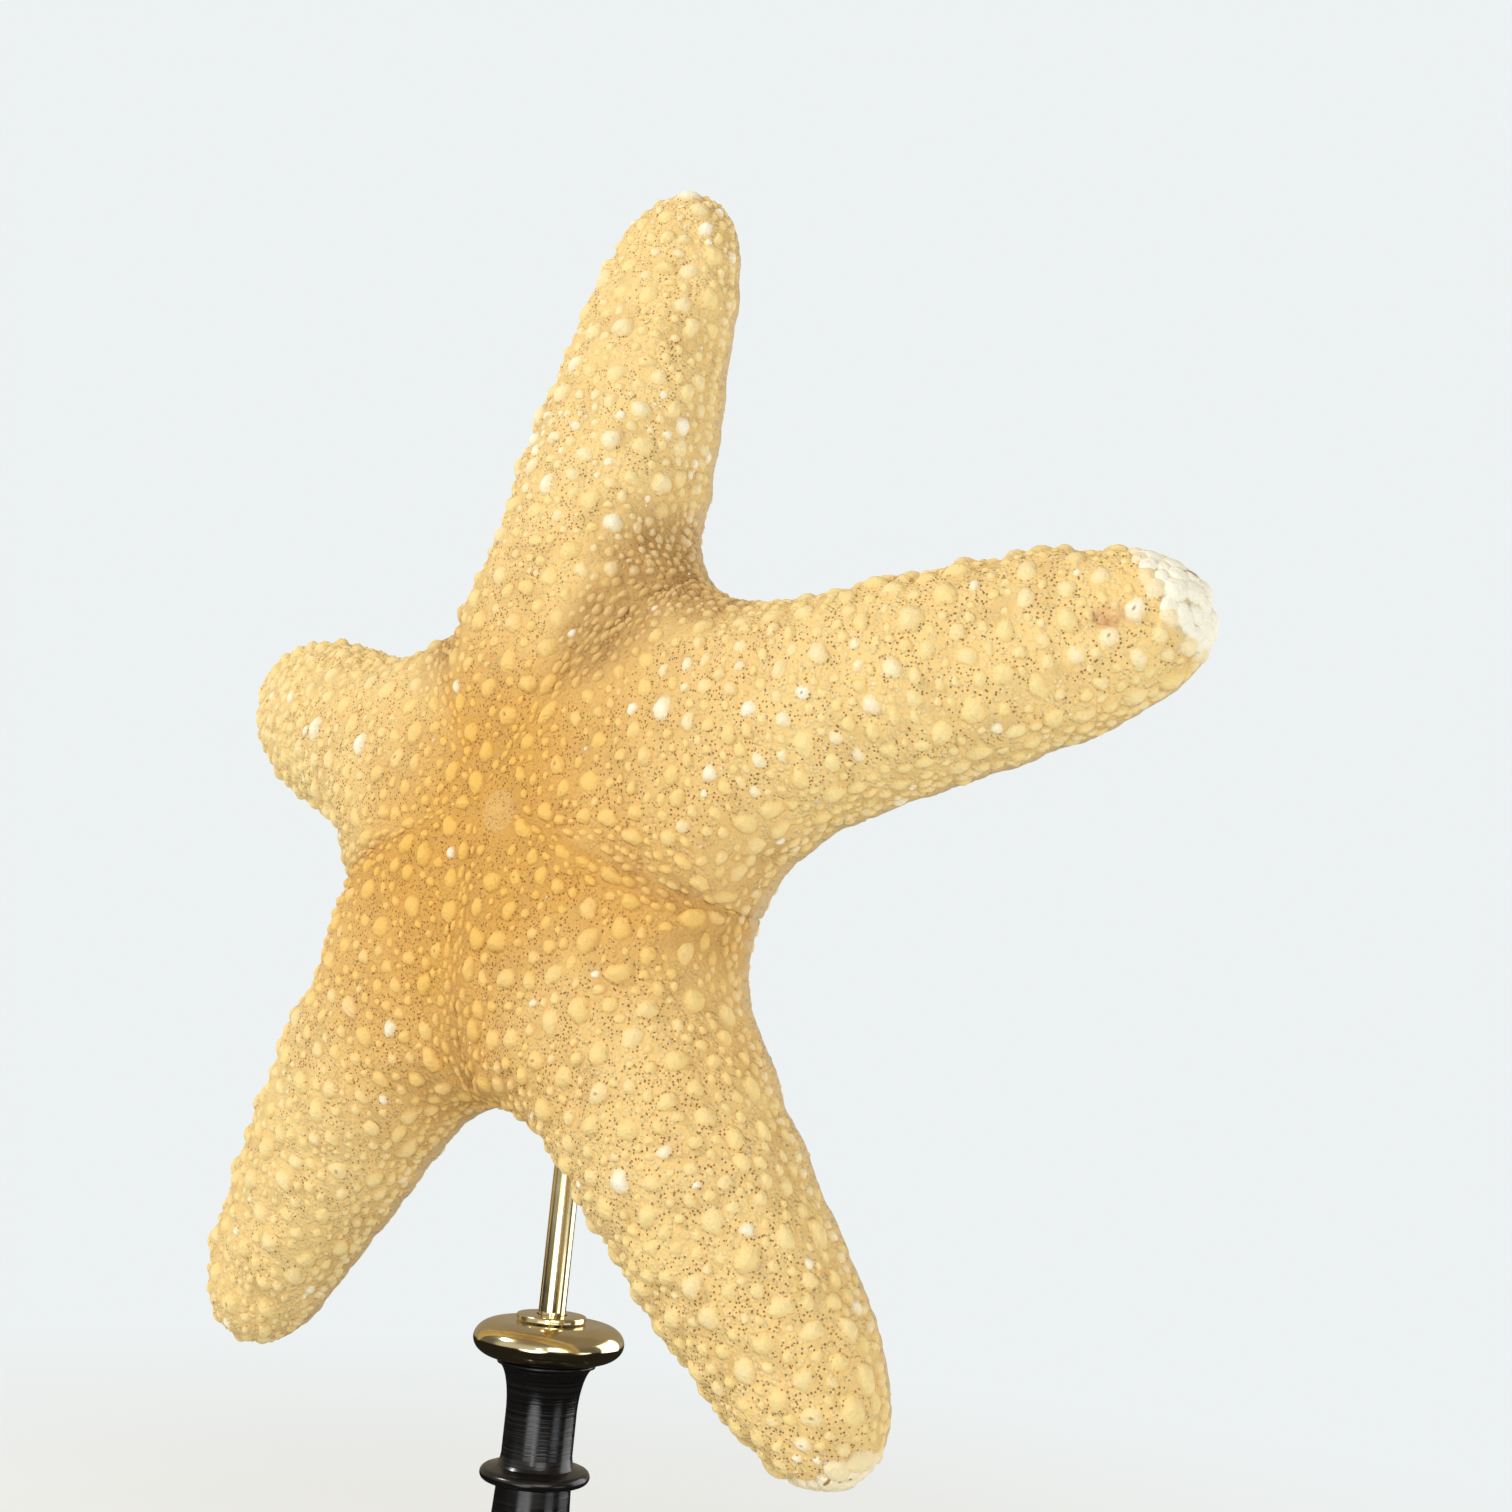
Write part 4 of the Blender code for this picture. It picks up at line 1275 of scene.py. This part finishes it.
# %% Rod
def build_rod():
    """Straight rod behind the starfish, with its top bent forward into the mouth."""
    level = STAR_CENTRE.z
    path = [Vector((0, 0, STEM_TOP - ROD_SEAT)), Vector((0, 0, level - ROD_BEND_RADIUS))]
    for step in range(1, 19):
        angle = math.radians(5 * step)
        back = ROD_BEND_RADIUS * (1 - math.cos(angle))
        path.append(Vector((0, -back, level - ROD_BEND_RADIUS * (1 - math.sin(angle)))))
    lean = Vector((0, -math.cos(STAR_LEAN), math.sin(STAR_LEAN)))
    path.append(STAR_CENTRE + lean * ROD_REACH)
    curve = bpy.data.curves.new("stand_rod_round", "CURVE")
    curve.dimensions = "3D"
    curve.bevel_depth = ROD_RADIUS
    curve.bevel_resolution = 12
    curve.use_fill_caps = True
    spline = curve.splines.new("POLY")
    spline.use_smooth = True
    spline.points.add(len(path) - 1)
    for point, place in zip(spline.points, path):
        point.co = (*place, 1.0)
    curve.materials.append(BRASS)
    rod = bpy.data.objects.new("stand_rod_round", curve)
    bpy.context.scene.collection.objects.link(rod)
    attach(rod, "root")
    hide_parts("stand_rod")


build_rod()

# %% [markdown]
# ## Stage, light and camera
#
# The camera stands to the right of the front and a little below the starfish, 0.3 m away, as a
# camera on a low tripod would, with a view of 50 degrees. A key light from the upper left draws
# the knobs, and the weaker lights keep the far flanks open. The world is more than a colour: it
# shows the camera an even pale background, and it shows the pieces windows in front and a dim
# brown tone behind, which gives the brass its dark and light bands and the black wood its slim
# highlights. The floor is hidden from mirrored rays, or it would turn the wood grey.

# %% Camera
CAMERA_PLACE = Vector((0.2086, -0.2162, 0.1213))
CAMERA_RIGHT = Vector((0.7874, 0.6103, 0.0870))
CAMERA_UP = Vector((0.0573, -0.2129, 0.9754))
CAMERA_BACK = Vector((0.6138, -0.7630, -0.2026))
camera_data = bpy.data.cameras.new("camera")
camera_data.sensor_width = 36
camera_data.lens = 38.58
camera = bpy.data.objects.new("camera", camera_data)
turn = Matrix((CAMERA_RIGHT, CAMERA_UP, CAMERA_BACK)).transposed().to_4x4()
camera.matrix_world = Matrix.Translation(CAMERA_PLACE) @ turn
bpy.context.scene.collection.objects.link(camera)
bpy.context.scene.camera = camera
print("camera", round(1000 * (CAMERA_PLACE - STAR_CENTRE).length), "mm from the starfish")

# %% Floor and light
BACK_WHITE = (0.85, 0.885, 0.885, 1)
FLOOR_WHITE = (0.93, 0.945, 0.945, 1)
BLACK = (0, 0, 0, 1)
WARM_WHITE = (1.0, 0.98, 0.95)
PURE_WHITE = (1.0, 1.0, 1.0)
LIGHTS = (
    {"name": "key", "place": (-0.62, -0.86, 0.86), "aim": 0.17, "size": 0.24, "power": 8.9,
     "colour": WARM_WHITE},
    {"name": "fill", "place": (0.95, -0.55, 0.35), "aim": 0.16, "size": 0.60, "power": 3.6,
     "colour": WARM_WHITE},
    {"name": "strip_front", "place": (0.50, -0.83, 0.16), "aim": 0.10, "size": 0.10, "power": 0.9,
     "colour": PURE_WHITE, "tall": 0.32},
    {"name": "bounce", "place": (0.45, 0.95, 0.30), "aim": 0.16, "size": 0.90, "power": 6.5,
     "colour": PURE_WHITE},
)


def floor_finish():
    """Pale floor that turns into the even tone of the background far from the stand."""
    material, tree, shader = new_material("floor", 0.9)
    place = tree.nodes.new("ShaderNodeTexCoord").outputs["Object"]
    distance = tree.nodes.new("ShaderNodeVectorMath")
    distance.operation = "LENGTH"
    feed(tree, distance.inputs[0], place)
    far = span_node(tree, distance.outputs["Value"], 0.05, 0.50)
    feed(tree, shader.inputs["Base Color"], mix_node(tree, far, FLOOR_WHITE, BLACK))
    feed(tree, shader.inputs["Emission Color"], mix_node(tree, far, BLACK, BACK_WHITE))
    shader.inputs["Emission Strength"].default_value = 1.0
    shader.inputs["Specular IOR Level"].default_value = 0.0
    return material


def add_stage():
    """Pale floor, wide enough that its edge is far off."""
    bm = bmesh.new()
    bmesh.ops.create_grid(bm, x_segments=1, y_segments=1, size=8)
    mesh = bpy.data.meshes.new("floor")
    bm.to_mesh(mesh)
    bm.free()
    floor = bpy.data.objects.new("floor", mesh)
    mesh.materials.append(floor_finish())
    bpy.context.scene.collection.objects.link(floor)
    floor.visible_glossy = False


def add_light(name, place, aim, size, power, colour, tall=None):
    """Area light that faces the axis at a height: a square, or a strip if it has its own height."""
    data = bpy.data.lights.new(name, "AREA")
    data.size = size
    if tall:
        data.shape = "RECTANGLE"
        data.size_y = tall
    data.energy = power
    data.color = colour
    lamp = bpy.data.objects.new(name, data)
    lamp.location = place
    lamp.rotation_euler = (Vector((0, 0, aim)) - Vector(place)).to_track_quat("-Z", "Y").to_euler()
    bpy.context.scene.collection.objects.link(lamp)


# %% Surroundings that the pieces mirror
DIM_SIDE = (0.16, 0.15, 0.13, 1)
DIM_BACK = (0.36, 0.30, 0.22, 1)
DIM_BELOW = (0.020, 0.018, 0.016, 1)
DIM_ABOVE = (0.28, 0.23, 0.17, 1)
WINDOW = (0.66, 0.65, 0.63, 1)
LOW_STRIP = (4.4, 4.5, 4.6, 1)
LOW_STRIP_SIDE = (2.4, 2.5, 2.6, 1)


def world_band(tree, direction, centre, low, high):
    """Soft band of the surroundings about a level direction."""
    return span_node(tree, dot_node(tree, direction, centre), low, high)


def add_world():
    """Pale background for the camera; for the pieces, windows in front and dim tones elsewhere."""
    world = bpy.data.worlds.new("studio")
    world.use_nodes = True
    tree = world.node_tree
    direction = tree.nodes.new("ShaderNodeTexCoord").outputs["Generated"]
    split = tree.nodes.new("ShaderNodeSeparateXYZ")
    feed(tree, split.inputs[0], direction)
    behind = world_band(tree, direction, (-0.63, 0.78, 0.0), 0.35, 0.62)
    window = world_band(tree, direction, (0.24, -0.97, 0.0), 0.42, 0.72)
    slim = world_band(tree, direction, (0.37, -0.92, 0.0), 0.90, 0.94)
    slimmer = world_band(tree, direction, (0.99, 0.14, 0.0), 0.955, 0.970)
    level = mix_node(tree, window, DIM_SIDE, WINDOW)
    below = mix_node(tree, slim, DIM_BELOW, LOW_STRIP)
    below = mix_node(tree, slimmer, below, LOW_STRIP_SIDE)
    overhead = span_node(tree, split.outputs["Z"], 0.25, 0.70)
    front = mix_node(tree, overhead, level, DIM_ABOVE)
    rays = tree.nodes.new("ShaderNodeLightPath").outputs
    back = mix_node(tree, rays["Is Glossy Ray"], BACK_WHITE, DIM_BACK)
    colour = mix_node(tree, behind, front, back)
    colour = mix_node(tree, span_node(tree, split.outputs["Z"], -0.07, -0.13), colour, below)
    shown = mix_node(tree, rays["Is Camera Ray"], colour, BACK_WHITE)
    feed(tree, tree.nodes["Background"].inputs["Color"], shown)
    bpy.context.scene.world = world


bpy.context.scene.view_settings.view_transform = "Standard"
add_stage()
add_world()
for light in LIGHTS:
    add_light(**light)
print(len(LIGHTS), "lights")
